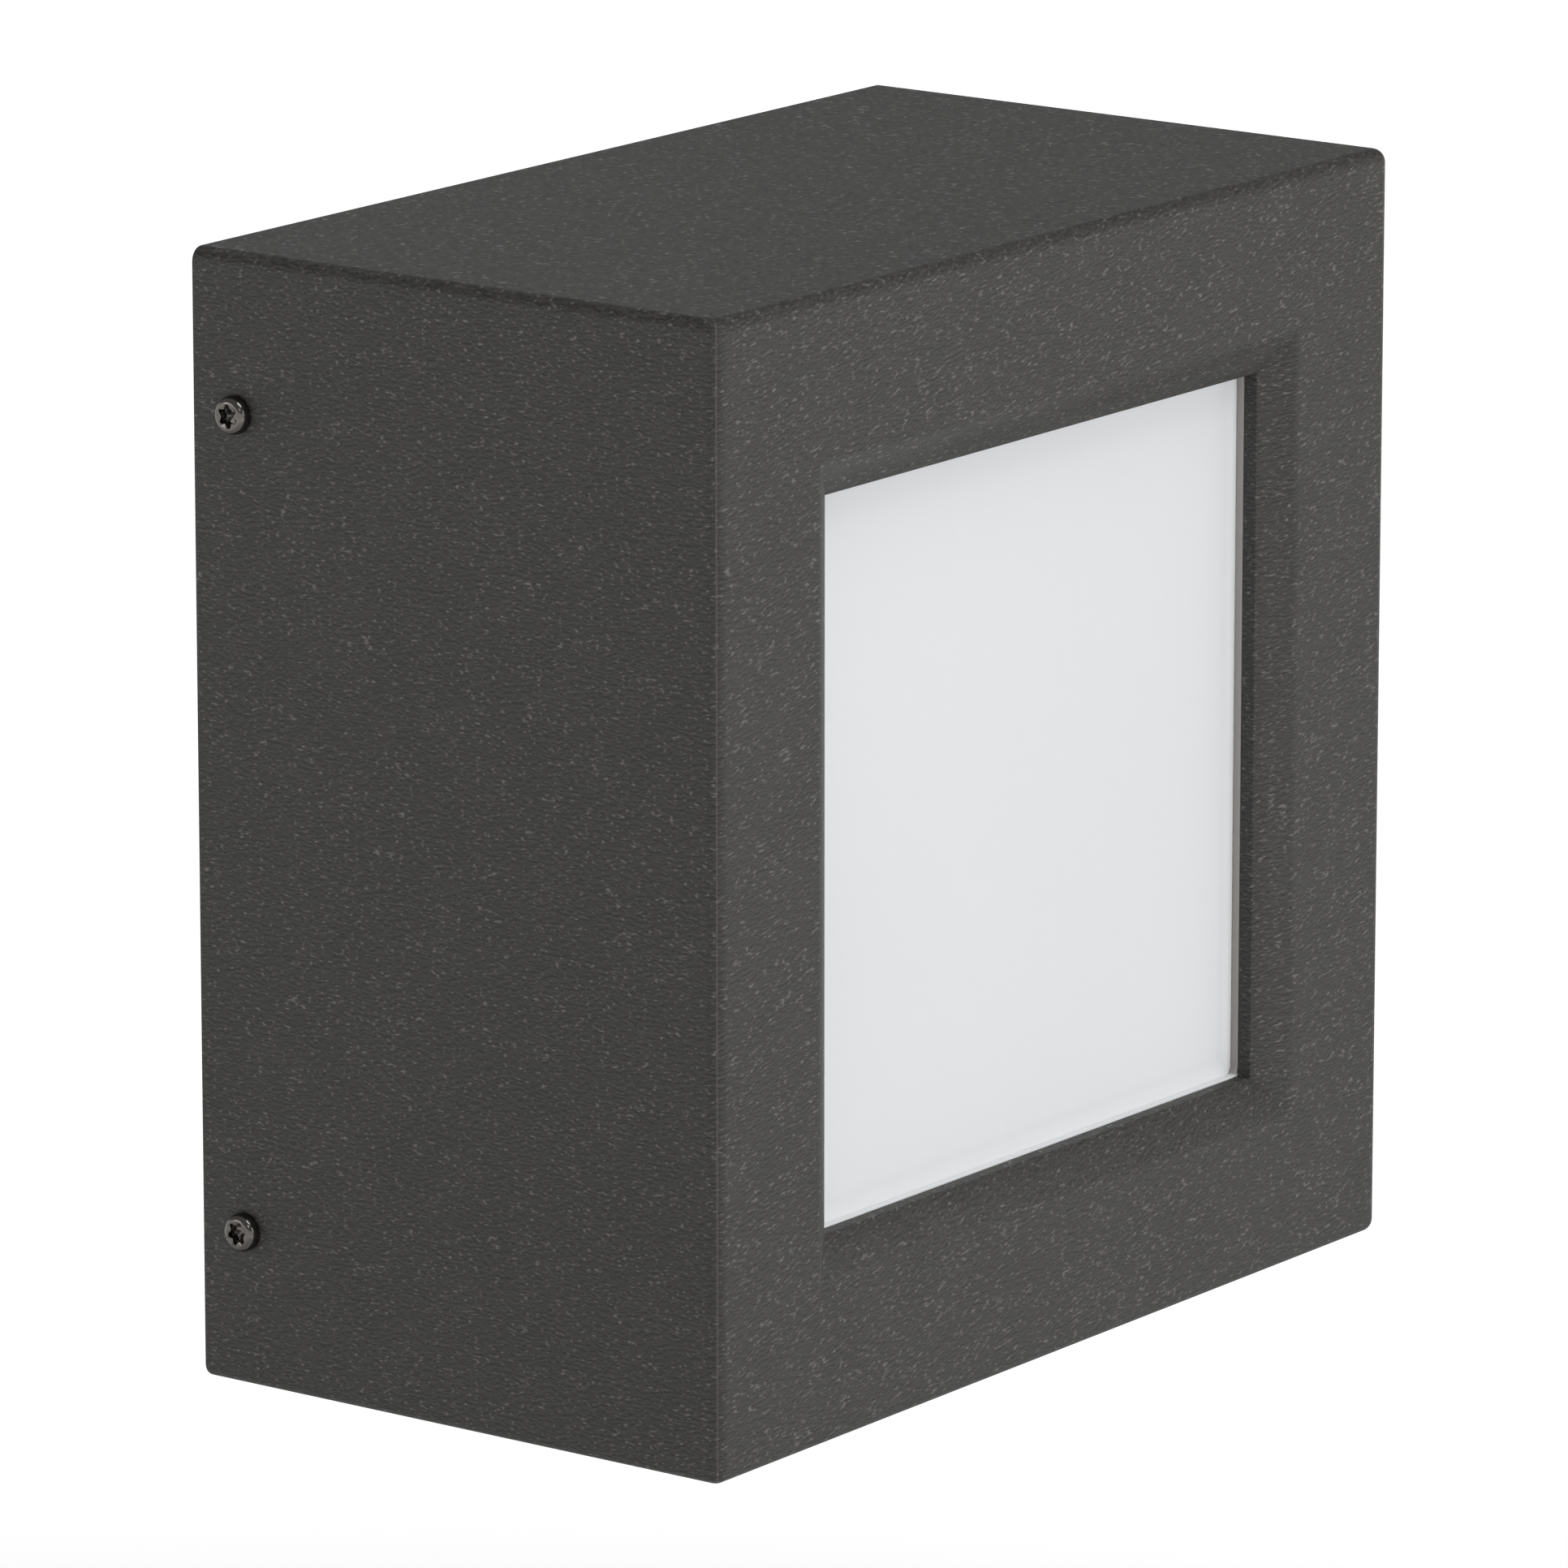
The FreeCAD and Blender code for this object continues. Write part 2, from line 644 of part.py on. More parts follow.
def terminal_screws():
    """Slotted clamping screws, seated on the brass bars."""
    screws = []
    front = block_front_y + clamp_screw_sink
    seat = clamp_y - clamp_across / 2
    for x in pole_xs:
        for z in clamp_screw_zs():
            screw = rod(clamp_screw_radius, V(x, front, z), Y_AXIS, seat - front)
            screws.append(screw.cut(block(x - clamp_screw_radius, x + clamp_screw_radius,
                                          front, front + clamp_slot_depth,
                                          z - clamp_slot_width / 2, z + clamp_slot_width / 2)))
    return screws


def terminal_mount_screws():
    """Screws through the ears of the terminal block into the base sheet."""
    return [pan_screw(V(x, ear_front_y, block_middle_z), Y_AXIS, block_screw_radius,
                      ear_thickness + base_sheet, small_head_radius, small_head_height)
            for x in block_screw_xs]


def earth_screw():
    """Earth screw into the base sheet."""
    return pan_screw(V(earth_x, ring_front_y, earth_z), Y_AXIS, earth_screw_radius,
                     ring_thickness + washer_thickness + base_sheet,
                     earth_head_radius, earth_head_height)


def earth_washer():
    """Washer between the ring terminal and the base sheet."""
    return pipe(washer_radius, earth_screw_radius + hole_clearance,
                V(earth_x, washer_front_y, earth_z), Y_AXIS, washer_thickness)


def earth_ring():
    """Ring terminal: a tongue round the earth screw and a barrel crimped on the earth lead."""
    tongue = rod(ring_radius, V(earth_x, ring_front_y, earth_z), Y_AXIS, ring_thickness)
    tongue = tongue.fuse(block(earth_x - barrel_radius, earth_x + barrel_radius, ring_front_y,
                               washer_front_y, earth_z, barrel_top_z))
    ring = tongue.fuse(rod(barrel_radius, V(earth_x, barrel_y, barrel_bottom_z), Z_AXIS,
                           barrel_length))
    ring = ring.cut(rod(lead_radius + fit, V(earth_x, barrel_y, barrel_bottom_z), Z_AXIS,
                        barrel_length))
    return ring.cut(rod(earth_screw_radius + hole_clearance, V(earth_x, ring_front_y, earth_z),
                        Y_AXIS, ring_thickness))


def holder_lead(pole, level, side):
    """Lead from a pole of the terminal block to the back of the lampholder's boss."""
    entry = side * entry_offset
    return swept([V(pole_xs[pole], clamp_y, clamp_bottom_z), V(pole_xs[pole], clamp_y, level),
                  V(entry, clamp_y, level), V(entry, holder_boss_y, level)], lead_radius)


def earth_lead():
    """Lead from the last pole of the terminal block down into the ring terminal."""
    return swept([V(earth_x, clamp_y, clamp_bottom_z), V(earth_x, clamp_y, earth_drop_z),
                  V(earth_x, barrel_y, earth_low_z), V(earth_x, barrel_y, barrel_bottom_z)],
                 lead_radius)


# ---- lamp ------------------------------------------------------------------------------------
def lamp_globe():
    """Opal bulb: hollow ball, cut flat where it meets the collar."""
    centre = V(0, lamp_y, globe_centre_z)
    ball = Part.makeSphere(globe_radius, centre).cut(
        Part.makeSphere(globe_radius - globe_wall, centre))
    low = block(-globe_radius, globe_radius, lamp_y - globe_radius, lamp_y + globe_radius,
                globe_centre_z - globe_radius, collar_top_z)
    return ball.cut(low)


def lamp_collar():
    """Flared collar under the globe, with a plug inside the cap."""
    outline = [(0, cap_bottom_z), (cap_inner_radius - fit, cap_bottom_z),
               (cap_inner_radius - fit, cap_top_z), (collar_foot_radius, cap_top_z),
               (collar_foot_radius + collar_low_flare,
                cap_top_z + collar_height * collar_low_share),
               (collar_top_radius - collar_high_inset,
                cap_top_z + collar_height * collar_high_share),
               (collar_top_radius, collar_top_z), (0, collar_top_z)]
    return turned(outline, V(0, lamp_y, 0), Z_AXIS)


def lamp_cap():
    """Screw cap of the lamp."""
    return pipe(cap_thread_radius, cap_inner_radius, V(0, lamp_y, cap_bottom_z), Z_AXIS,
                cap_length)


def lamp_insulator():
    """Black cone between the cap and the lamp's contact."""
    foot = cap_bottom_z - insulator_height
    outline = [(0, foot), (insulator_tip_radius, foot),
               (cap_thread_radius - insulator_edge, cap_bottom_z), (0, cap_bottom_z)]
    return turned(outline, V(0, lamp_y, 0), Z_AXIS)


def lamp_contact():
    """Foot contact of the lamp."""
    return rod(lamp_contact_radius, V(0, lamp_y, lamp_contact_z), Z_AXIS, lamp_contact_thickness)


# ---- every node ------------------------------------------------------------------------------
def main():
    """Build each piece and write it to its own file."""
    os.makedirs("parts", exist_ok=True)
    export("base_plate", base_plate())
    export("wall_gasket", panel_frame(base_width, base_height, wall_gasket_width, base_back_y, 0,
                                      inner_corner_radius, inner_corner_radius))
    export("cable_grommet", cable_grommet())
    export("lampholder_bracket", lampholder_bracket())
    export("bracket_screws", bracket_screws())
    export("lampholder_body", lampholder_body())
    export("lampholder_screws", lampholder_screws())
    export("lampholder_shell", lampholder_shell())
    export("lampholder_contact", lampholder_contact())
    export("terminal_block", terminal_block())
    export("terminal_clamps", terminal_clamps())
    export("terminal_screws", terminal_screws())
    export("terminal_mount_screws", terminal_mount_screws())
    export("earth_screw", earth_screw())
    export("earth_washer", earth_washer())
    export("earth_ring", earth_ring())
    export("line_lead", holder_lead(0, line_entry_z, 1))
    export("neutral_lead", holder_lead(1, neutral_entry_z, -1))
    export("earth_lead", earth_lead())

    export("cover_shell", cover_shell())
    export("glass_gasket", glass_gasket())
    export("glass_pane", panel(glass_width, glass_height, glass_front_y, glass_back_y,
                               glass_corner_radius))
    for name, side in (("top", Z_AXIS), ("bottom", Z_AXIS * -1),
                       ("left", X_AXIS * -1), ("right", X_AXIS)):
        export("glass_clip_" + name, glass_clip(side))
    export("clip_pads", clip_pads())
    export("clip_screws", clip_screws())
    export("clamp_nuts", clamp_nuts())
    for name, seat, way in side_screw_places():
        export(name, side_screw(seat, way))

    export("lamp_globe", lamp_globe())
    export("lamp_collar", lamp_collar())
    export("lamp_cap", lamp_cap())
    export("lamp_insulator", lamp_insulator())
    export("lamp_contact", lamp_contact())


main()
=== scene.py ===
"""Looks of a square outdoor wall lantern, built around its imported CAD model.

The casting, the opal glass, its silicone bead, the side screws, the lamp and the lampholder are
modelled here; sheet-metal and moulded parts keep their CAD form and get softened edges. All lengths
are metres, in the frame of the CAD model: the wall is Y = 0, the front looks towards -Y, Z is up.
"""

import logging
import math
from collections.abc import Callable, Iterable, Sequence
from dataclasses import dataclass
from enum import Enum

import bmesh
import bpy
from mathutils import Matrix, Vector


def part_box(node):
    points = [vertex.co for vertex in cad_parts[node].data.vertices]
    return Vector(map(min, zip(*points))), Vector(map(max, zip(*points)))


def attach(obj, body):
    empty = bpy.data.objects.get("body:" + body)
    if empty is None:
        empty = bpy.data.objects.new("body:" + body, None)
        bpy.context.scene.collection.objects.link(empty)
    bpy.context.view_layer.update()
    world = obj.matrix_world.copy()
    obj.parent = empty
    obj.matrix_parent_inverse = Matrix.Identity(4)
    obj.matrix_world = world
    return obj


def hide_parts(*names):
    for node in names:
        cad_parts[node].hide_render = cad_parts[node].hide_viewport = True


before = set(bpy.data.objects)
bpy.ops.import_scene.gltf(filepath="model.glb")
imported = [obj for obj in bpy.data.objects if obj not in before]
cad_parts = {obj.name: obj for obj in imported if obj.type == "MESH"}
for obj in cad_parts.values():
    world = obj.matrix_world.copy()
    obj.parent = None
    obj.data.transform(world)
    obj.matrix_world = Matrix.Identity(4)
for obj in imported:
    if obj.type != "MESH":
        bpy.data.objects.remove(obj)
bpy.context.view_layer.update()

LOG = logging.getLogger("lantern")
SMALLEST = 1e-6
TURN = 2 * math.pi
ALONG = 0.99    # cosine over which a direction runs along an axis
ACROSS = 0.1    # cosine under which it runs across it
CLIP_SIDES = ("top", "bottom", "left", "right")

Colour = tuple[float, float, float, float]
Triple = tuple[float, float, float]
Form = bmesh.types.BMesh
Edge = bmesh.types.BMEdge
Corner = bmesh.types.BMVert


def grey(level: float, warmth: float = 0.0) -> Colour:
    """Return a neutral colour; warmth shifts it from blue (-) to red (+)."""
    return (level * (1 + warmth), level, level * (1 - warmth), 1.0)


class Body(Enum):
    """Moving bodies of the lantern."""

    BASE = "base"
    COVER = "cover"
    LAMP = "lamp"


class Slot(Enum):
    """Material slots of the record."""

    COAT = "anthracite_coat"
    BASE_COAT = "base_coat"
    FOAM = "foam_seal"
    RUBBER = "black_rubber"
    SILICONE = "grey_silicone"
    OPAL = "opal_glass"
    CLIP = "clip_steel"
    STAINLESS = "stainless_steel"
    ZINC = "zinc_steel"
    CERAMIC = "lampholder_ceramic"
    NICKEL = "nickel_brass"
    BRASS = "brass_contact"
    TIN = "tinned_copper"
    TERMINAL = "terminal_plastic"
    BROWN = "brown_lead"
    BLUE = "blue_lead"
    EARTH = "earth_lead"
    DIFFUSER = "lamp_diffuser"
    HOUSING = "lamp_housing"
    VITRITE = "cap_glass"


# ---- shader building -------------------------------------------------------------------------
class Value:
    """A number in a node tree; calculating with it adds Math nodes."""

    def __init__(self, graph: "Graph", socket: bpy.types.NodeSocket) -> None:
        """Wrap an output socket.

        Args:
            graph: The graph that holds the socket.
            socket: A number output.
        """
        self.graph = graph
        self.socket = socket

    def _math(self, operation: str, *terms: "Value | float") -> "Value":
        """Add one Math node.

        Args:
            operation: The node's operation.
            terms: Its inputs, in order.

        Returns:
            The node's result.
        """
        made = self.graph.node("ShaderNodeMath", {"operation": operation},
                               dict(enumerate(terms)))
        return Value(self.graph, made.outputs[0])

    def __add__(self, other: "Value | float") -> "Value":
        """Return self + other."""
        return self._math("ADD", self, other)

    def __radd__(self, other: float) -> "Value":
        """Return other + self."""
        return self._math("ADD", other, self)

    def __sub__(self, other: "Value | float") -> "Value":
        """Return self - other."""
        return self._math("SUBTRACT", self, other)

    def __rsub__(self, other: float) -> "Value":
        """Return other - self."""
        return self._math("SUBTRACT", other, self)

    def __mul__(self, other: "Value | float") -> "Value":
        """Return self * other."""
        return self._math("MULTIPLY", self, other)

    def __rmul__(self, other: float) -> "Value":
        """Return other * self."""
        return self._math("MULTIPLY", other, self)

    def __gt__(self, edge: float) -> "Value":
        """Return 1 where self is over edge and 0 elsewhere."""
        return self._math("GREATER_THAN", self, edge)

    def least(self, other: "Value") -> "Value":
        """Return the smaller of self and other."""
        return self._math("MINIMUM", self, other)

    def size(self) -> "Value":
        """Return self without its sign."""
        return self._math("ABSOLUTE", self)

    def ramp(self, low: float, high: float) -> "Value":
        """Rise smoothly from 0 to 1.

        Args:
            low: Where the rise starts.
            high: Where it ends.

        Returns:
            The eased number.
        """
        made = self.graph.node("ShaderNodeMapRange", {"interpolation_type": "SMOOTHSTEP"},
                               {"Value": self, "From Min": low, "From Max": high})
        return Value(self.graph, made.outputs["Result"])


class Graph:
    """The node tree of a material or of the sky."""

    def __init__(self, name: str, tree: bpy.types.NodeTree | None = None) -> None:
        """Start a material with a Principled shader, or take over the sky's tree.

        Args:
            name: The material's name.
            tree: The sky's tree, or None for a new material.
        """
        if tree is None:
            self.material = bpy.data.materials.new(name)
            self.material.use_nodes = True
            self.tree = self.material.node_tree
            self.tree.nodes.clear()
            self.place = self.node("ShaderNodeTexCoord").outputs["Object"]
            self.shader = self.shade("ShaderNodeBsdfPrincipled", "ShaderNodeOutputMaterial")
        else:
            self.tree = tree
            self.tree.nodes.clear()
            self.place = self.node("ShaderNodeTexCoord").outputs["Generated"]

    def shade(self, kind: str, output: str, inputs: dict | None = None) -> bpy.types.Node:
        """Add a shader and link it to an output.

        Args:
            kind: The shader's type.
            output: The output's type.
            inputs: The shader's inputs.

        Returns:
            The shader.
        """
        made = self.node(kind, None, inputs)
        end = self.node(output)
        self.tree.links.new(made.outputs[0], end.inputs["Surface"])
        return made

    def node(self, kind: str, settings: dict | None = None,
             inputs: dict | None = None) -> bpy.types.Node:
        """Add a node.

        Args:
            kind: The node's type.
            settings: Properties, set first.
            inputs: Numbers, colours, sockets or Values, by socket name or index.

        Returns:
            The new node.
        """
        made = self.tree.nodes.new(kind)
        for key, value in (settings or {}).items():
            setattr(made, key, value)
        for key, value in (inputs or {}).items():
            self.feed(made.inputs[key], value)
        return made

    def feed(self, socket: bpy.types.NodeSocket, value: object) -> None:
        """Link or set one input.

        Args:
            socket: The input.
            value: A Value, a socket, a number or a colour.
        """
        if isinstance(value, Value):
            value = value.socket
        if isinstance(value, bpy.types.NodeSocket):
            self.tree.links.new(value, socket)
        else:
            socket.default_value = value

    def surface(self, **inputs: object) -> None:
        """Set the shader's inputs; an underscore in a name stands for a space."""
        for key, value in inputs.items():
            self.feed(self.shader.inputs[key.replace("_", " ")], value)

    def noise(self, grain: float, detail: float = 2.0, roughness: float = 0.5,
              stretch: Vector | None = None, move: Vector | None = None) -> Value:
        """Add a noise pattern.

        Args:
            grain: Size of its features, in metres.
            detail: Octaves.
            roughness: Share of the finer octaves.
            stretch: Factors by which the features are squeezed along X, Y and Z.
            move: Shift of the pattern, after squeezing.

        Returns:
            A number around 0.5.
        """
        made = self.node("ShaderNodeTexNoise", None,
                         {"Vector": self.squeezed(stretch, move), "Scale": 1 / grain,
                          "Detail": detail, "Roughness": roughness})
        return Value(self, made.outputs["Fac"])

    def squeezed(self, factors: Vector | None,
                 move: Vector | None = None) -> bpy.types.NodeSocket:
        """Scale the place, then move it.

        Args:
            factors: Factors along X, Y and Z, or None for none.
            move: The move, or None for none.

        Returns:
            The new place.
        """
        if factors is None and move is None:
            return self.place
        fields = {"Vector": self.place, "Scale": factors or Vector((1, 1, 1)),
                  "Location": move or Vector()}
        return self.node("ShaderNodeMapping", None, fields).outputs[0]

    def lean(self, angle: float) -> None:
        """Turn all textures made after this about the Y axis, by an angle in radians."""
        fields = {"Vector": self.place, "Rotation": Vector((0, angle, 0))}
        self.place = self.node("ShaderNodeMapping", None, fields).outputs[0]

    def axes(self) -> tuple[Value, Value, Value]:
        """Return the place's X, Y and Z."""
        split = self.node("ShaderNodeSeparateXYZ", None, {"Vector": self.place})
        x, y, z = (Value(self, part) for part in split.outputs)
        return x, y, z

    def crest(self, low: Vector, high: Vector, width: float,
              reach: tuple[float, float]) -> Value:
        """Find the crests of the upright rounded edges on a box's low-Y face.

        Args:
            low: The box's low corner.
            high: Its high corner.
            width: Half width of the line on the crest.
            reach: Depths behind the face where the line starts and stops fading.

        Returns:
            1 on the crest's line and 0 elsewhere.
        """
        x, y, _ = self.axes()
        depth = y - low.y
        off = ((x - low.x).least(high.x - x) - depth).size()
        return (1 - off.ramp(0.0, width)) * (1 - depth.ramp(*reach))

    def blend(self, factor: Value | float, first: object, second: object) -> bpy.types.NodeSocket:
        """Mix two colours.

        Args:
            factor: Share of the second colour.
            first: Colour or socket.
            second: Colour or socket.

        Returns:
            The mixed colour.
        """
        made = self.node("ShaderNodeMix", {"data_type": "RGBA"}, {0: factor, 6: first, 7: second})
        return made.outputs[2]

    def relief(self, height: Value, depth: float, strength: float = 1.0) -> None:
        """Feed a height to the shader's normal.

        Args:
            height: Height from 0 to 1.
            depth: Metres for a height of 1.
            strength: Share of the effect.
        """
        bump = self.node("ShaderNodeBump", None,
                         {"Height": height, "Distance": depth, "Strength": strength})
        self.surface(Normal=bump.outputs["Normal"])


class Finish:
    """A finish that can be made into a material."""

    def build(self, name: str) -> bpy.types.Material:
        """Make the material.

        Args:
            name: Its name.

        Returns:
            The material.
        """
        graph = Graph(name)
        self.paint(graph)
        return graph.material

    def paint(self, graph: Graph) -> None:
        """Fill the material's nodes; each finish has its own way."""
        raise NotImplementedError


@dataclass(frozen=True)
class PowderCoat(Finish):
    """Fine-textured powder coat: short ripples with painted light and shade, bright specks, and a
    painted highlight line on the crests of the front edges.
    """

    low: Vector
    high: Vector
    dark: Colour
    light: Colour
    speck: Colour
    grain: float = 0.00062
    squeeze: Triple = (0.35, 0.4, 1.0)
    step: Triple = (0.0, 0.0, 0.0003)
    lean: float = math.radians(10.0)
    crest_width: float = 0.00045
    crest_reach: tuple[float, float] = (0.0015, 0.003)
    crest_highlight_share: float = 0.3
    cloud_size: float = 0.012
    cloud_share: float = 0.3
    emboss_shade_share: float = 2.6
    ripple_depth: float = 0.00004
    speck_size: float = 0.85
    speck_share: float = 0.75
    roughness: float = 0.56

    def paint(self, graph: Graph) -> None:
        """Fill the material's nodes.

        Args:
            graph: The material's graph.
        """
        line = graph.crest(self.low, self.high, self.crest_width, self.crest_reach)
        graph.lean(self.lean)
        along = Vector(self.squeeze)
        cloud = graph.noise(self.cloud_size, 3.0) - 0.5
        # Painted light and shade: subtracting a copy of the ripple pattern shifted by step gives
        # each ripple a lit side and a shaded side, like relief lit from one direction.
        emboss_shade = (graph.noise(self.grain, 2.0, 0.6, along)
                  - graph.noise(self.grain, 2.0, 0.6, along, Vector(self.step)))
        shade = 0.5 + cloud * self.cloud_share + emboss_shade * self.emboss_shade_share
        colour = graph.blend(shade, self.dark, self.light)
        specks = graph.noise(self.grain * self.speck_size, 1.5, 0.5, along).ramp(0.58, 0.76)
        colour = graph.blend(specks * self.speck_share, colour, self.speck)
        # Painted highlight: a thin line along the crests of the front's upright rounded edges is
        # lightened towards the speck colour.
        colour = graph.blend(line * self.crest_highlight_share, colour, self.speck)
        graph.surface(Base_Color=colour, Roughness=self.roughness - specks * 0.14,
                      Metallic=specks * 0.2, Specular_IOR_Level=0.38)
        graph.relief(graph.noise(self.grain, 2.0, 0.6, along), self.ripple_depth, 0.9)


@dataclass(frozen=True)
class OpalGlass(Finish):
    """White flashed glass with a smooth satin face, with painted light towards its edges that
    offsets the shade cast there by the jamb and seal.
    """

    low: Vector
    high: Vector
    white: Colour
    cool: Colour
    pale: Colour
    covered: float = 0.0082
    covered_top: float = 0.002
    near: float = 0.0045
    far: float = 0.01

    def paint(self, graph: Graph) -> None:
        """Fill the material's nodes.

        Args:
            graph: The material's graph.
        """
        x, _, z = graph.axes()
        edge = (x - self.low.x).least(self.high.x - x).least(z - self.low.z)
        edge = edge.least(self.high.z - z + self.covered_top) - self.covered
        # Painted light: within near and far of the uncovered edges the glass is lightened towards
        # the pale colour, against the shade cast by the jamb and seal.
        pale = 1 - edge.ramp(0.0, self.near) * 0.8 - edge.ramp(0.0, self.far) * 0.2
        haze = graph.noise(0.16, 1.0, 0.4).ramp(0.35, 0.65)
        colour = graph.blend(pale, graph.blend(haze, self.white, self.cool), self.pale)
        graph.surface(Base_Color=colour, IOR=1.5,
                      Roughness=0.42 + graph.noise(0.05, 2.0) * 0.05)
        graph.relief(graph.noise(0.03, 1.0), 0.00001, 0.3)


@dataclass(frozen=True)
class BareMetal(Finish):
    """Uncoated metal with fine drawing or turning marks."""

    colour: Colour
    stain: Colour
    roughness: float
    marks: Triple = (1.0, 1.0, 8.0)
    mark_size: float = 0.0012
    mark_depth: float = 0.000012

    def paint(self, graph: Graph) -> None:
        """Fill the material's nodes.

        Args:
            graph: The material's graph.
        """
        scratch = graph.noise(self.mark_size, 3.0, 0.6, Vector(self.marks))
        tint = graph.noise(0.006, 2.0).ramp(0.4, 0.7)
        graph.surface(Base_Color=graph.blend(tint * 0.5, self.colour, self.stain), Metallic=1.0,
                      Roughness=self.roughness + scratch * 0.12)
        graph.relief(scratch, self.mark_depth, 0.6)


@dataclass(frozen=True)
class Moulded(Finish):
    """Moulded plastic, rubber, foam or fired ceramic."""

    colour: Colour
    shade: Colour
    roughness: float
    grain: float = 0.0008
    depth: float = 0.00002
    coat: float = 0.0

    def paint(self, graph: Graph) -> None:
        """Fill the material's nodes.

        Args:
            graph: The material's graph.
        """
        texture = graph.noise(self.grain, 2.0, 0.6)
        cloud = graph.noise(0.01, 2.0).ramp(0.35, 0.7)
        colour = graph.blend(cloud * 0.5 + texture * 0.3, self.colour, self.shade)
        graph.surface(Base_Color=colour, Coat_Weight=self.coat, Coat_Roughness=0.06,
                      Roughness=self.roughness + texture * 0.08)
        graph.relief(texture, self.depth, 0.7)


@dataclass(frozen=True)
class SealSilicone(Finish):
    """Silicone of the glass seal: grey, with painted light that makes its lower run pale."""

    grey: Colour
    painted_light_tone: Colour
    level: float = -0.077
    fade: float = 0.0005

    def paint(self, graph: Graph) -> None:
        """Fill the material's nodes.

        Args:
            graph: The material's graph.
        """
        # Painted light: under the level, the seal's upward-facing lower run is painted pale as if
        # lit from above; the rest stays grey.
        upper = graph.axes()[2].ramp(self.level, self.level + self.fade)
        graph.surface(Base_Color=graph.blend(upper, self.painted_light_tone, self.grey),
                      Roughness=0.42 + graph.noise(0.001) * 0.06)


@dataclass(frozen=True)
class StripedInsulation(Finish):
    """Two-colour lead insulation, split along a plane of constant X."""

    first: Colour
    second: Colour
    split_x: float

    def paint(self, graph: Graph) -> None:
        """Fill the material's nodes.

        Args:
            graph: The material's graph.
        """
        half = graph.axes()[0] > self.split_x
        texture = graph.noise(0.0006, 2.0)
        graph.surface(Base_Color=graph.blend(half, self.first, self.second),
                      Roughness=0.4 + texture * 0.1)
        graph.relief(texture, 0.00001, 0.5)


class FinishShelf:
    """Every finish of the lantern, one material for each slot."""

    def __init__(self) -> None:
        """Build all the materials."""
        low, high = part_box("earth_lead")
        coat = PowderCoat(*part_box("cover_shell"), dark=(0.0124, 0.0118, 0.0109, 1),
                          light=(0.0444, 0.0427, 0.0403, 1), speck=(0.15, 0.144, 0.137, 1))
        finishes = {
            Slot.COAT: coat,
            Slot.BASE_COAT: coat,
            Slot.FOAM: Moulded(grey(0.03), grey(0.015), 0.85, 0.0009, 0.0002),
            Slot.RUBBER: Moulded(grey(0.02), grey(0.012), 0.6, 0.0005, 0.00002),
            Slot.SILICONE: SealSilicone(grey(0.27, 0.05), grey(0.72, -0.01)),
            Slot.OPAL: OpalGlass(*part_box("glass_pane"), white=(0.655, 0.66, 0.675, 1),
                                 cool=(0.645, 0.65, 0.667, 1), pale=grey(0.85, -0.01)),
            Slot.CLIP: BareMetal(grey(0.56, 0.01), grey(0.48, 0.02), 0.26, (1, 1, 9)),
            Slot.STAINLESS: BareMetal(grey(0.125, 0.07), grey(0.09, 0.08), 0.06, (6, 1, 1)),
            Slot.ZINC: BareMetal(grey(0.55, -0.02), grey(0.45, 0.03), 0.3, (1, 1, 1)),
            Slot.CERAMIC: Moulded(grey(0.78, 0.03), grey(0.72, 0.05), 0.32, 0.002, 0.00002, 0.3),
            Slot.NICKEL: BareMetal(grey(0.62, 0.05), grey(0.5, 0.08), 0.2, (1, 1, 6)),
            Slot.BRASS: BareMetal((0.72, 0.5, 0.2, 1), (0.55, 0.36, 0.14, 1), 0.25),
            Slot.TIN: BareMetal(grey(0.66), grey(0.55), 0.35, (1, 1, 1)),
            Slot.TERMINAL: Moulded(grey(0.74, 0.02), grey(0.68, 0.03), 0.4, 0.0007),
            Slot.BROWN: Moulded((0.13, 0.05, 0.022, 1), (0.09, 0.035, 0.016, 1), 0.42),
            Slot.BLUE: Moulded((0.02, 0.09, 0.38, 1), (0.015, 0.06, 0.27, 1), 0.42),
            Slot.EARTH: StripedInsulation((0.04, 0.24, 0.03, 1), (0.75, 0.58, 0.03, 1),
                                          (low.x + high.x) / 2),
            Slot.DIFFUSER: Moulded(grey(0.86, 0.01), grey(0.82, 0.02), 0.38, 0.003, 0.000004),
            Slot.HOUSING: Moulded(grey(0.8, 0.01), grey(0.76, 0.01), 0.35, 0.0006),
            Slot.VITRITE: Moulded(grey(0.012), grey(0.008), 0.12, 0.002, 0.000005, 0.5),
        }
        self.materials = {slot: made.build(slot.value) for slot, made in finishes.items()}

    def __getitem__(self, slot: Slot) -> bpy.types.Material:
        """Return a slot's material."""
        return self.materials[slot]


# ---- shape building --------------------------------------------------------------------------
def edges_where(form: Form, test: Callable[[Vector, Vector], bool]) -> list[Edge]:
    """Pick edges of a form.

    Args:
        form: The form.
        test: Function that takes an edge's middle and direction and says yes or no.

    Returns:
        The edges that pass.
    """
    found = []
    for edge in form.edges:
        start, end = (corner.co for corner in edge.verts)
        if test((start + end) / 2, (end - start).normalized()):
            found.append(edge)
    return found


def open_edges(form: Form) -> list[Edge]:
    """Return the open edges of a form."""
    return [edge for edge in form.edges if edge.is_boundary]


def corners_in(parts: Iterable[object]) -> list[Corner]:
    """Return the corners among the parts that an operator made."""
    return [part for part in parts if isinstance(part, Corner)]


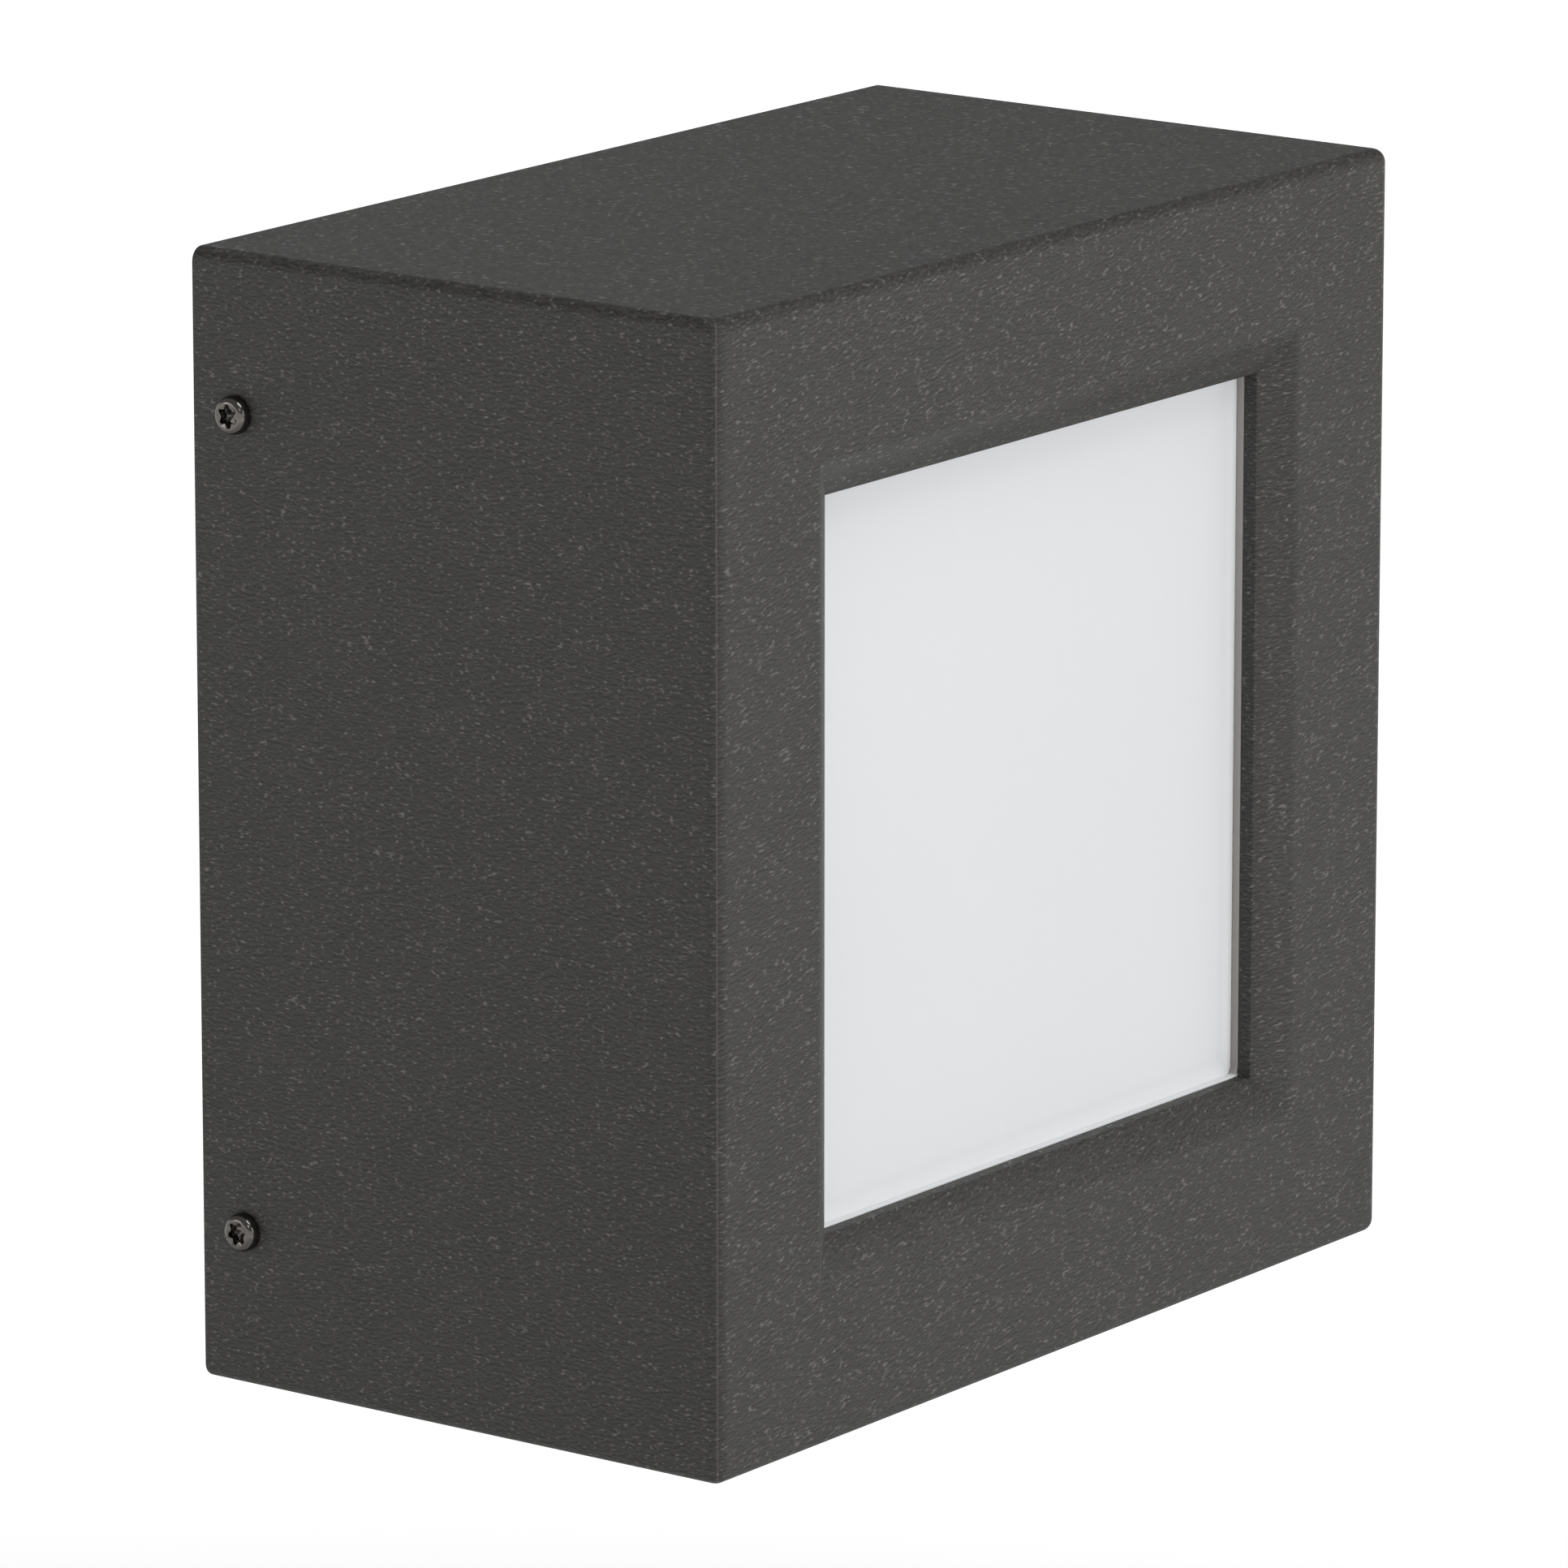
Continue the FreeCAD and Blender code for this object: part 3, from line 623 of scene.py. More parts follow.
def trim(form: Form, height: float, way: int) -> None:
    """Cut a form level and drop one side of it.

    Args:
        form: The form, changed in place.
        height: Height of the cut.
        way: 1 to drop what lies under it, -1 to drop what lies over it.
    """
    everything = [*form.verts, *form.edges, *form.faces]
    bmesh.ops.bisect_plane(form, geom=everything, dist=SMALLEST, plane_co=(0, 0, height),
                           plane_no=(0, 0, way), clear_inner=True)


def round_edges(form: Form, edges: Iterable[Edge], radius: float,
                segments: int = 4) -> None:
    """Round edges of a form.

    Args:
        form: The form, changed in place.
        edges: The edges to round.
        radius: Radius, in metres.
        segments: Faces across each rounding.
    """
    bmesh.ops.bevel(form, geom=list(edges), offset=radius, offset_type="OFFSET",
                    affect="EDGES", segments=segments, profile=0.5, material=-1,
                    clamp_overlap=True)


def block(low: Vector, high: Vector) -> Form:
    """Make a box between two corners, to be shaped further.

    Args:
        low: Lowest corner.
        high: Highest corner.

    Returns:
        The box.
    """
    form = bmesh.new()
    size = high - low
    bmesh.ops.create_cube(form, size=1.0, matrix=Matrix.Translation((low + high) / 2)
                          @ Matrix.Diagonal((*size, 1.0)))
    return form


def rounded_outline(form: Form, width: float, height: float, y: float,
                    radius: float) -> list[Edge]:
    """Add an upright rectangle with round corners, as edges only.

    Args:
        form: The form, changed in place.
        width: Size along X.
        height: Size along Z.
        y: Place along Y.
        radius: Radius of its corners.

    Returns:
        Its edges.
    """
    others = set(form.edges)
    place = (Matrix.Translation((0, y, 0)) @ Matrix.Rotation(math.pi / 2, 4, "X")
             @ Matrix.Diagonal((width / 2, height / 2, 1, 1)))
    made = bmesh.ops.create_grid(form, x_segments=1, y_segments=1, size=1.0, matrix=place)
    bmesh.ops.bevel(form, geom=made["verts"], offset=radius, offset_type="OFFSET",
                    affect="VERTICES", segments=6, profile=0.5, material=-1)
    bmesh.ops.delete(form, geom=list(form.faces), context="FACES_ONLY")
    return [edge for edge in form.edges if edge not in others]


def ring_plate(outer: tuple[float, float], inner: tuple[float, float], low_y: float,
               high_y: float, outer_radius: float, inner_radius: float) -> Form:
    """Make a flat rectangular ring.

    Args:
        outer: Width and height outside.
        inner: Width and height inside.
        low_y: Front plane.
        high_y: Back plane.
        outer_radius: Radius of the outer corners.
        inner_radius: Radius of the inner corners.

    Returns:
        The ring.
    """
    form = bmesh.new()
    loops = rounded_outline(form, *outer, low_y, outer_radius)
    loops += rounded_outline(form, *inner, low_y, inner_radius)
    bmesh.ops.bridge_loops(form, edges=loops)
    grown = bmesh.ops.extrude_face_region(form, geom=list(form.faces), use_keep_orig=True)
    bmesh.ops.translate(form, vec=(0, high_y - low_y, 0), verts=corners_in(grown["geom"]))
    bmesh.ops.recalc_face_normals(form, faces=form.faces)
    return form


def turned(outline: Sequence[tuple[float, float]], steps: int = 72) -> Form:
    """Turn an outline round the Z axis.

    Args:
        outline: Points as radius and height.
        steps: Faces round the turn.

    Returns:
        The turned form, open where the outline ends away from the axis.
    """
    form = bmesh.new()
    corners = [form.verts.new((radius, 0.0, height)) for radius, height in outline]
    lines = [form.edges.new(pair) for pair in zip(corners, corners[1:])]
    bmesh.ops.spin(form, geom=corners + lines, cent=(0, 0, 0), axis=(0, 0, 1), dvec=(0, 0, 0),
                   angle=TURN, steps=steps, use_merge=True)
    bmesh.ops.remove_doubles(form, verts=form.verts, dist=SMALLEST)
    bmesh.ops.recalc_face_normals(form, faces=form.faces)
    return form


def arc(centre: tuple[float, float], radius: float, start: float, end: float,
        steps: int = 12) -> list[tuple[float, float]]:
    """List points of an arc.

    Args:
        centre: Middle of the arc, as radius and height of an outline.
        radius: Its radius.
        start: First angle, in degrees from the outward direction.
        end: Last angle.
        steps: Number of chords.

    Returns:
        The points, both ends included.
    """
    points = []
    for step in range(steps + 1):
        angle = math.radians(start + (end - start) * step / steps)
        points.append((centre[0] + radius * math.cos(angle), centre[1] + radius * math.sin(angle)))
    return points


def threaded_sleeve(crest: float, depth: float, pitch: float, low: float, high: float,
                    wall: float, steps: int = 60) -> Form:
    """Make a rolled round thread, as on a lamp cap.

    Args:
        crest: Largest radius.
        depth: Crest to root.
        pitch: Height of one turn.
        low: Bottom.
        high: Top.
        wall: Thickness, inwards if positive.
        steps: Faces round the turn.

    Returns:
        The sleeve.
    """
    per_turn = 10
    form = bmesh.new()
    turns = math.ceil((high - low) / pitch) + 2
    corners = []
    for step in range(turns * per_turn + 1):
        wave = math.cos(TURN * step / per_turn)
        radius = crest - depth / 2 + depth / 2 * wave
        corners.append(form.verts.new((radius, 0, low + pitch * (step / per_turn - 1))))
    lines = [form.edges.new(pair) for pair in zip(corners, corners[1:])]
    bmesh.ops.spin(form, geom=corners + lines, cent=(0, 0, 0), axis=(0, 0, 1),
                   dvec=(0, 0, pitch / steps), angle=TURN, steps=steps, use_merge=False)
    bmesh.ops.remove_doubles(form, verts=form.verts, dist=SMALLEST)
    trim(form, low, 1)
    trim(form, high, -1)
    bmesh.ops.recalc_face_normals(form, faces=form.faces)
    bmesh.ops.solidify(form, geom=list(form.faces), thickness=wall)
    bmesh.ops.recalc_face_normals(form, faces=form.faces)
    return form


def cylinder(radius: float, start: Vector, way: Vector, length: float,
             steps: int = 48) -> Form:
    """Make a closed cylinder, as a tool for cutting or a blank for shaping.

    Args:
        radius: Its radius.
        start: Middle of its first end.
        way: Direction to its other end.
        length: Its length.
        steps: Faces round it.

    Returns:
        The cylinder.
    """
    form = bmesh.new()
    place = (Matrix.Translation(start + way * length / 2)
             @ way.to_track_quat("Z", "Y").to_matrix().to_4x4())
    bmesh.ops.create_cone(form, cap_ends=True, segments=steps, radius1=radius, radius2=radius,
                          depth=length, matrix=place)
    return form


def gather(forms: Iterable[Form]) -> Form:
    """Join several forms into one and free them.

    Args:
        forms: The forms.

    Returns:
        One form that holds them all.
    """
    whole = bmesh.new()
    for form in forms:
        carrier = bpy.data.meshes.new("carrier")
        form.to_mesh(carrier)
        form.free()
        whole.from_mesh(carrier)
        bpy.data.meshes.remove(carrier)
    return whole


def raw_object(name: str, form: Form) -> bpy.types.Object:
    """Turn a form into an object and free it.

    Args:
        name: The object's name.
        form: The form.

    Returns:
        The object, at the origin.
    """
    mesh = bpy.data.meshes.new(name)
    form.to_mesh(mesh)
    form.free()
    made = bpy.data.objects.new(name, mesh)
    bpy.context.scene.collection.objects.link(made)
    return made


def carve(target: bpy.types.Object, tool: Form, operation: str) -> None:
    """Add or take away a tool's shape, and drop the tool.

    Args:
        target: The object, changed in place.
        tool: The shape to use.
        operation: UNION or DIFFERENCE.
    """
    helper = raw_object("tool", tool)
    step = target.modifiers.new("carve", "BOOLEAN")
    step.operation = operation
    step.solver = "EXACT"
    step.object = helper
    bpy.context.view_layer.update()
    graph = bpy.context.evaluated_depsgraph_get()
    result = bpy.data.meshes.new_from_object(target.evaluated_get(graph))
    target.modifiers.remove(step)
    spent = target.data
    target.data = result
    bpy.data.meshes.remove(spent)
    bpy.data.objects.remove(helper)


@dataclass
class Workshop:
    """Finishes pieces and puts them on the lantern."""

    shelf: FinishShelf
    sharp_angle: float = math.radians(38)

    def finish(self, made: bpy.types.Object, slot: Slot, body: str, nodes: Sequence[str],
               bevel: float = 0.0) -> bpy.types.Object:
        """Shade, dress and mount a piece.

        Args:
            made: The object, in place.
            slot: Its finish.
            body: The body that it rides on.
            nodes: CAD nodes that it stands for.
            bevel: Width of a live bevel on its sharp edges, or 0.

        Returns:
            The object.
        """
        made.data.shade_smooth()
        if bevel:
            edge = made.modifiers.new("soft_edges", "BEVEL")
            edge.width = bevel
            edge.segments = 2
            edge.limit_method = "ANGLE"
            edge.angle_limit = self.sharp_angle
        else:
            made.data.set_sharp_from_angle(angle=self.sharp_angle)
        normals = made.modifiers.new("even_normals", "WEIGHTED_NORMAL")
        normals.keep_sharp = True
        normals.weight = 100
        made.data.materials.clear()
        made.data.materials.append(self.shelf[slot])
        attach(made, body)
        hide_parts(*nodes)
        LOG.info("piece %s on %s: %d faces", made.name, body, len(made.data.polygons))
        return made

    def piece(self, name: str, form: Form, slot: Slot, body: str,
              nodes: Sequence[str], bevel: float = 0.0) -> bpy.types.Object:
        """Make a finished piece from a form.

        Args:
            name: The piece's name.
            form: Its form, which is freed.
            slot: Its finish.
            body: The body that it rides on.
            nodes: CAD nodes that it stands for.
            bevel: Width of a live bevel, or 0.

        Returns:
            The piece.
        """
        return self.finish(raw_object(name, form), slot, body, nodes, bevel)

    def softened(self, node: str, name: str, slot: Slot, body: str,
                 bevel: float) -> bpy.types.Object:
        """Make a piece from a CAD node's form, with softened edges.

        Args:
            node: The CAD node.
            name: The piece's name.
            slot: Its finish.
            body: The body that it rides on.
            bevel: Width of the softened edges.

        Returns:
            The piece.
        """
        form = bmesh.new()
        form.from_mesh(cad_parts[node].data)
        bmesh.ops.remove_doubles(form, verts=form.verts, dist=SMALLEST)
        bmesh.ops.dissolve_limit(form, angle_limit=math.radians(0.5), verts=form.verts,
                                 edges=form.edges, delimit=set())
        return self.piece(name, form, slot, body, [node], bevel)

    def dress(self, node: str, slot: Slot) -> None:
        """Give a CAD node that stays its finish.

        Args:
            node: The node.
            slot: Its finish.
        """
        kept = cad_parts[node]
        for place in kept.material_slots:
            place.material = self.shelf[slot]
        LOG.info("node %s dressed as %s", node, slot.value)


# ---- cover -----------------------------------------------------------------------------------
@dataclass
class Cover:
    """Cast cover with its bevelled window, glass, seal, clips and nuts."""

    wall: float = 0.0035
    edge_radius: float = 0.003
    inner_radius: float = 0.002
    bevel_run: float = 0.0082
    bevel_drop: float = 0.005
    jamb_depth: float = 0.0032
    lip_width: float = 0.012
    glass_overlap: float = 0.008
    glass_radius: float = 0.002
    bead_stand: float = 0.0002
    crest_round: float = 0.0009
    slope_round: float = 0.0002
    jamb_round: float = 0.0003
    rim_round: float = 0.0004
    ground_edge: float = 0.0005
    bead_round: float = 0.0004
    clip_end: float = 0.009
    boss_radius: float = 0.0045
    boss_root: float = 0.6
    boss_hole: float = 0.00155
    boss_hole_depth: float = 0.0075
    screw_hole: float = 0.00225
    drill_start: float = 0.9
    drill_length: float = 0.03

    def __post_init__(self) -> None:
        """Take the casting's corners and the window's size from the frame."""
        self.low, self.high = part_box("cover_shell")
        glass_low, glass_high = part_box("glass_pane")
        size = glass_high - glass_low
        self.window = (size.x - 2 * self.glass_overlap, size.z - 2 * self.glass_overlap)
        self.front = self.low.y
        self.slope_y = self.front + self.bevel_drop
        self.lip_y = self.slope_y + self.jamb_depth

    def build(self, shop: Workshop) -> None:
        """Make every piece of the cover.

        Args:
            shop: The workshop that finishes them.
        """
        body = Body.COVER.value
        casting = raw_object("cover_casting", self.casting())
        carve(casting, self.bosses(), "UNION")
        carve(casting, self.holes(), "DIFFERENCE")
        shop.finish(casting, Slot.COAT, body, ["cover_shell"])
        shop.piece("opal_glass_sheet", self.glass(), Slot.OPAL, body, ["glass_pane"])
        shop.piece("silicone_bead", self.bead(), Slot.SILICONE, body, ["glass_gasket"])
        for side in CLIP_SIDES:
            shop.softened("glass_clip_" + side, "spring_clip_" + side, Slot.CLIP, body, 0.0003)
        shop.softened("clip_screws", "clip_screw_set", Slot.ZINC, body, 0.00025)
        shop.softened("clamp_nuts", "square_nut_set", Slot.STAINLESS, body, 0.0003)
        shop.softened("clip_pads", "clip_pad_set", Slot.SILICONE, body, 0.0002)

    def casting(self) -> Form:
        """Shape the casting from a box: rounded outside, stepped window, hollow inside.

        Returns:
            The closed casting, without bosses and holes.
        """
        form = block(self.low, self.high)
        back = [face for face in form.faces if face.normal.y > ALONG]
        bmesh.ops.delete(form, geom=back, context="FACES_ONLY")
        round_edges(form, [edge for edge in form.edges if not edge.is_boundary],
                    self.edge_radius, 8)
        rim = open_edges(form)
        front = max((face for face in form.faces if face.normal.y < -ALONG),
                    key=lambda face: face.calc_area())
        margin = ((self.high.x - self.low.x) - self.window[0]) / 2 - self.bevel_run
        bmesh.ops.inset_region(form, faces=[front], thickness=margin - self.edge_radius,
                               depth=0.0, use_even_offset=True)
        bmesh.ops.inset_region(form, faces=[front], thickness=self.bevel_run,
                               depth=-self.bevel_drop, use_even_offset=True)
        loop = list(front.edges)
        bmesh.ops.delete(form, geom=[front], context="FACES_ONLY")
        lip = (self.window[0] + 2 * self.lip_width, self.window[1] + 2 * self.lip_width)
        hollow = (self.high.x - self.low.x - 2 * self.wall,
                  self.high.z - self.low.z - 2 * self.wall)
        inner_front = self.front + self.wall
        sections = [(self.window, self.lip_y), (lip, self.lip_y), (lip, inner_front),
                    (hollow, inner_front), (hollow, self.high.y)]
        for (width, height), y in sections:
            loop = self.grow(form, loop, width, height, y)
        corners = edges_where(form, lambda middle, way: abs(way.y) > ALONG
                              and abs(abs(middle.x) - hollow[0] / 2) < SMALLEST
                              and abs(abs(middle.z) - hollow[1] / 2) < SMALLEST)
        round_edges(form, corners, self.inner_radius, 8)
        inner_rim = [edge for edge in open_edges(form) if edge not in rim]
        bmesh.ops.bridge_loops(form, edges=rim + inner_rim)
        self.soften(form)
        bmesh.ops.recalc_face_normals(form, faces=form.faces)
        return form

    def grow(self, form: Form, loop: list[Edge], width: float,
             height: float, y: float) -> list[Edge]:
        """Extrude an upright rectangular loop to a new size and depth.

        Args:
            form: The form, changed in place.
            loop: The loop's four edges.
            width: New width.
            height: New height.
            y: New place along Y.

        Returns:
            The new loop.
        """
        grown = bmesh.ops.extrude_edge_only(form, edges=loop)["geom"]
        corners = corners_in(grown)
        reach = corners[0].co
        factors = (width / 2 / abs(reach.x), 1.0, height / 2 / abs(reach.z))
        step = y - reach.y
        bmesh.ops.scale(form, vec=factors, verts=corners)
        bmesh.ops.translate(form, vec=(0, step, 0), verts=corners)
        return [part for part in grown if isinstance(part, Edge)
                and all(corner in corners for corner in part.verts)]

    def soften(self, form: Form) -> None:
        """Break the window's edges and the rim as the coat does.

        Args:
            form: The casting, changed in place.
        """
        half = self.window[0] / 2
        rings = ((self.front, half + self.bevel_run, self.crest_round),
                 (self.slope_y, half, self.slope_round), (self.lip_y, half, self.jamb_round))
        for y, reach, radius in rings:
            ring = edges_where(form, lambda middle, way: abs(middle.y - y) < SMALLEST
                               and abs(max(abs(middle.x), abs(middle.z)) - reach) < SMALLEST
                               and abs(way.y) < ACROSS)
            round_edges(form, ring, radius, 3)
        back = edges_where(form, lambda middle, way: abs(middle.y - self.high.y) < SMALLEST
                           and abs(way.y) < ACROSS)
        outer = [edge for edge in back
                 if any(abs(face.normal.y) < ACROSS for face in edge.link_faces)
                 and any(face.normal.y > ALONG for face in edge.link_faces)]
        round_edges(form, outer, self.rim_round, 2)

    def boss_axes(self) -> list[Vector]:
        """Find the axis of each glass boss.

        Returns:
            A point on each axis.
        """
        axes = []
        for side in CLIP_SIDES:
            low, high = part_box("glass_clip_" + side)
            middle = (low + high) / 2
            sideways = (high - low).x < (high - low).z
            outward = 1 if (middle.x if sideways else middle.z) > 0 else -1
            tip = high if outward > 0 else low
            for step in (-1, 1):
                along = step * self.clip_pitch() / 2
                if sideways:
                    axes.append(Vector((tip.x - outward * self.boss_radius, 0, along)))
                else:
                    axes.append(Vector((along, 0, tip.z - outward * self.boss_radius)))
        return axes

    def clip_pitch(self) -> float:
        """Return the distance between a clip's two screws."""
        low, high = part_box("glass_clip_top")
        return (high - low).x - 2 * self.clip_end

    def bosses(self) -> Form:
        """Make the eight glass bosses.

        Returns:
            The bosses, sunk a little into the casting.
        """
        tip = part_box("glass_clip_top")[0].y
        foot = self.front + self.wall * self.boss_root
        return gather([cylinder(self.boss_radius, Vector((axis.x, foot, axis.z)),
                                Vector((0, 1, 0)), tip - foot) for axis in self.boss_axes()])

    def holes(self) -> Form:
        """Make the tools for the blind holes of the clips and the side-screw holes.

        Returns:
            All the cutting cylinders.
        """
        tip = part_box("glass_clip_top")[0].y
        depth = self.boss_hole_depth
        tools = [cylinder(self.boss_hole, Vector((axis.x, tip - depth, axis.z)),
                          Vector((0, 1, 0)), depth * 2, 24) for axis in self.boss_axes()]
        for seat in SideScrew.seats():
            start = Vector((seat.place.x * self.drill_start, seat.place.y, seat.place.z))
            tools.append(cylinder(self.screw_hole, start, seat.out, self.drill_length, 32))
        return gather(tools)

    def glass(self) -> Form:
        """Shape the glass: round corners and ground edges.

        Returns:
            The glass.
        """
        form = block(*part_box("glass_pane"))
        corners = edges_where(form, lambda middle, way: abs(way.y) > ALONG)
        round_edges(form, corners, self.glass_radius, 6)
        ground = edges_where(form, lambda middle, way: abs(way.y) < ACROSS)
        round_edges(form, ground, self.ground_edge, 2)
        return form

    def bead(self) -> Form:
        """Shape the silicone seal, whose inner edge bulges a little past the window.

        Returns:
            The seal.
        """
        low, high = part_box("glass_gasket")
        size = high - low
        inner = (self.window[0] - 2 * self.bead_stand, self.window[1] - 2 * self.bead_stand)
        form = ring_plate((size.x, size.z), inner, low.y, high.y, self.glass_radius,
                          self.glass_radius)
        lips = edges_where(form, lambda middle, way: abs(way.y) < ACROSS
                           and max(abs(middle.x), abs(middle.z)) < inner[0] / 2 + SMALLEST)
        round_edges(form, lips, self.bead_round, 3)
        return form


@dataclass
class Seat:
    """Where a side screw stands: its node, the middle of its seat and its outward direction."""

    node: str
    place: Vector
    out: Vector


@dataclass
class SideScrew:
    """Bright pan-head screw with a six-lobe socket and a cut thread."""

    head_radius: float = 0.0041
    head_height: float = 0.0028
    rim_height: float = 0.0004
    fullness: float = 0.9
    socket_rim: float = 0.00255
    countersink: float = 0.00025
    socket_radius: float = 0.0024
    socket_depth: float = 0.0021
    crest_radius: float = 0.002
    root_radius: float = 0.0016
    pitch: float = 0.0007
    steps: int = 72
    dome_steps: int = 10
    thread_steps: int = 32
    foot_round: float = 0.00015
    tip_share: float = 0.75
    tip_chamfer: float = 0.0004
    socket_draft: float = 0.97
    pit_share: float = 0.3
    pit_depth: float = 0.0003
    lobes: int = 6
    lobe_depth: float = 0.27
    ridge_sink: float = 0.00005
    ridge_share: float = 0.42
    ridge_flat: float = 0.15
    tip_margin: float = 0.0006
    plain_length: float = 0.0014
    first_turn: float = 14.0
    next_turn: float = 23.0

    @staticmethod
    def seats() -> list[Seat]:
        """Find the seats of the side screws on the cover's sides.

        Returns:
            One seat for each screw.
        """
        found = []
        low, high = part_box("cover_shell")
        for node in sorted(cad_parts):
            if node.startswith("side_screw"):
                first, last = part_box(node)
                middle = (first + last) / 2
                side = 1 if middle.x > 0 else -1
                edge = high.x if side > 0 else low.x
                found.append(Seat(node, Vector((edge, middle.y, middle.z)),
                                  Vector((side, 0, 0))))
        return found

    def build(self, shop: Workshop) -> None:
        """Make the four screws, each turned differently.

        Args:
            shop: The workshop that finishes them.
        """
        for turn, seat in enumerate(self.seats()):
            first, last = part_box(seat.node)
            length = (last - first).x - self.head_height
            form = gather([self.blank(length), self.thread(length)])
            place = (Matrix.Translation(seat.place)
                     @ seat.out.to_track_quat("Z", "Y").to_matrix().to_4x4()
                     @ Matrix.Rotation(math.radians(self.first_turn + self.next_turn * turn),
                                       4, "Z"))
            bmesh.ops.transform(form, matrix=place, verts=form.verts)
            name = seat.node.replace("side_screw", "cover_screw")
            shop.piece(name, form, Slot.STAINLESS, seat.node, [seat.node])

    def blank(self, length: float) -> Form:
        """Turn the head and core, then sink the socket.

        Args:
            length: Length of the shank.

        Returns:
            The screw without its thread, head up along Z.
        """
        reach = self.head_radius - self.socket_rim
        rise = self.head_height - self.rim_height
        dome = []
        for step in range(self.dome_steps + 1):
            angle = math.pi / 2 * step / self.dome_steps
            dome.append((self.socket_rim + reach * math.cos(angle) ** self.fullness,
                         self.rim_height + rise * math.sin(angle) ** self.fullness))
        foot = self.foot_round
        outline = [(0, -length), (self.root_radius * self.tip_share, -length),
                   (self.root_radius, -length + self.tip_chamfer), (self.root_radius, 0),
                   (self.head_radius - foot, 0), (self.head_radius, foot), *dome]
        form = turned(outline, self.steps)
        mouth = self.socket_radius / self.socket_rim
        self.shape_lobes(self.step(form, open_edges(form), mouth, -self.countersink))
        self.step(form, open_edges(form), self.socket_draft,
                  self.countersink - self.socket_depth)
        pit = self.step(form, open_edges(form), self.pit_share, -self.pit_depth)
        bmesh.ops.contextual_create(form, geom=pit)
        bmesh.ops.recalc_face_normals(form, faces=form.faces)
        return form

    @staticmethod
    def step(form: Form, loop: list[Edge], factor: float,
             rise: float) -> list[Corner]:
        """Extrude a round loop, scaled about the Z axis and moved along it.

        Args:
            form: The form, changed in place.
            loop: The loop's edges.
            factor: Scale across.
            rise: Move along Z.

        Returns:
            The new corners.
        """
        grown = bmesh.ops.extrude_edge_only(form, edges=loop)["geom"]
        corners = corners_in(grown)
        bmesh.ops.scale(form, vec=(factor, factor, 1.0), verts=corners)
        bmesh.ops.translate(form, vec=(0, 0, rise), verts=corners)
        return corners

    def shape_lobes(self, corners: Iterable[Corner]) -> None:
        """Draw a round loop in between its six lobes.

        Args:
            corners: The loop's corners, moved in place.
        """
        for corner in corners:
            angle = math.atan2(corner.co.y, corner.co.x)
            valley = (1 - math.cos(self.lobes * angle)) / 2
            factor = 1 - self.lobe_depth * valley
            corner.co.x *= factor
            corner.co.y *= factor

    def thread(self, length: float) -> Form:
        """Wind the thread's ridge round the core.

        Args:
            length: Length of the shank.

        Returns:
            The ridge, closed at both ends.
        """
        form = bmesh.new()
        start = -length + self.tip_margin
        turns = math.floor((length - self.plain_length) / self.pitch)
        sunk = self.root_radius - self.ridge_sink
        half = self.pitch * self.ridge_share
        flat = half * self.ridge_flat
        corners = [form.verts.new(point) for point in
                   ((sunk, 0, start - half), (self.crest_radius, 0, start - flat),
                    (self.crest_radius, 0, start + flat), (sunk, 0, start + half))]
        lines = [form.edges.new((corners[i], corners[i - 1])) for i in range(4)]
        bmesh.ops.spin(form, geom=corners + lines, cent=(0, 0, 0), axis=(0, 0, 1),
                       dvec=(0, 0, self.pitch / self.thread_steps), angle=TURN * turns,
                       steps=self.thread_steps * turns, use_merge=False)
        bmesh.ops.holes_fill(form, edges=open_edges(form), sides=4)
        bmesh.ops.recalc_face_normals(form, faces=form.faces)
        return form


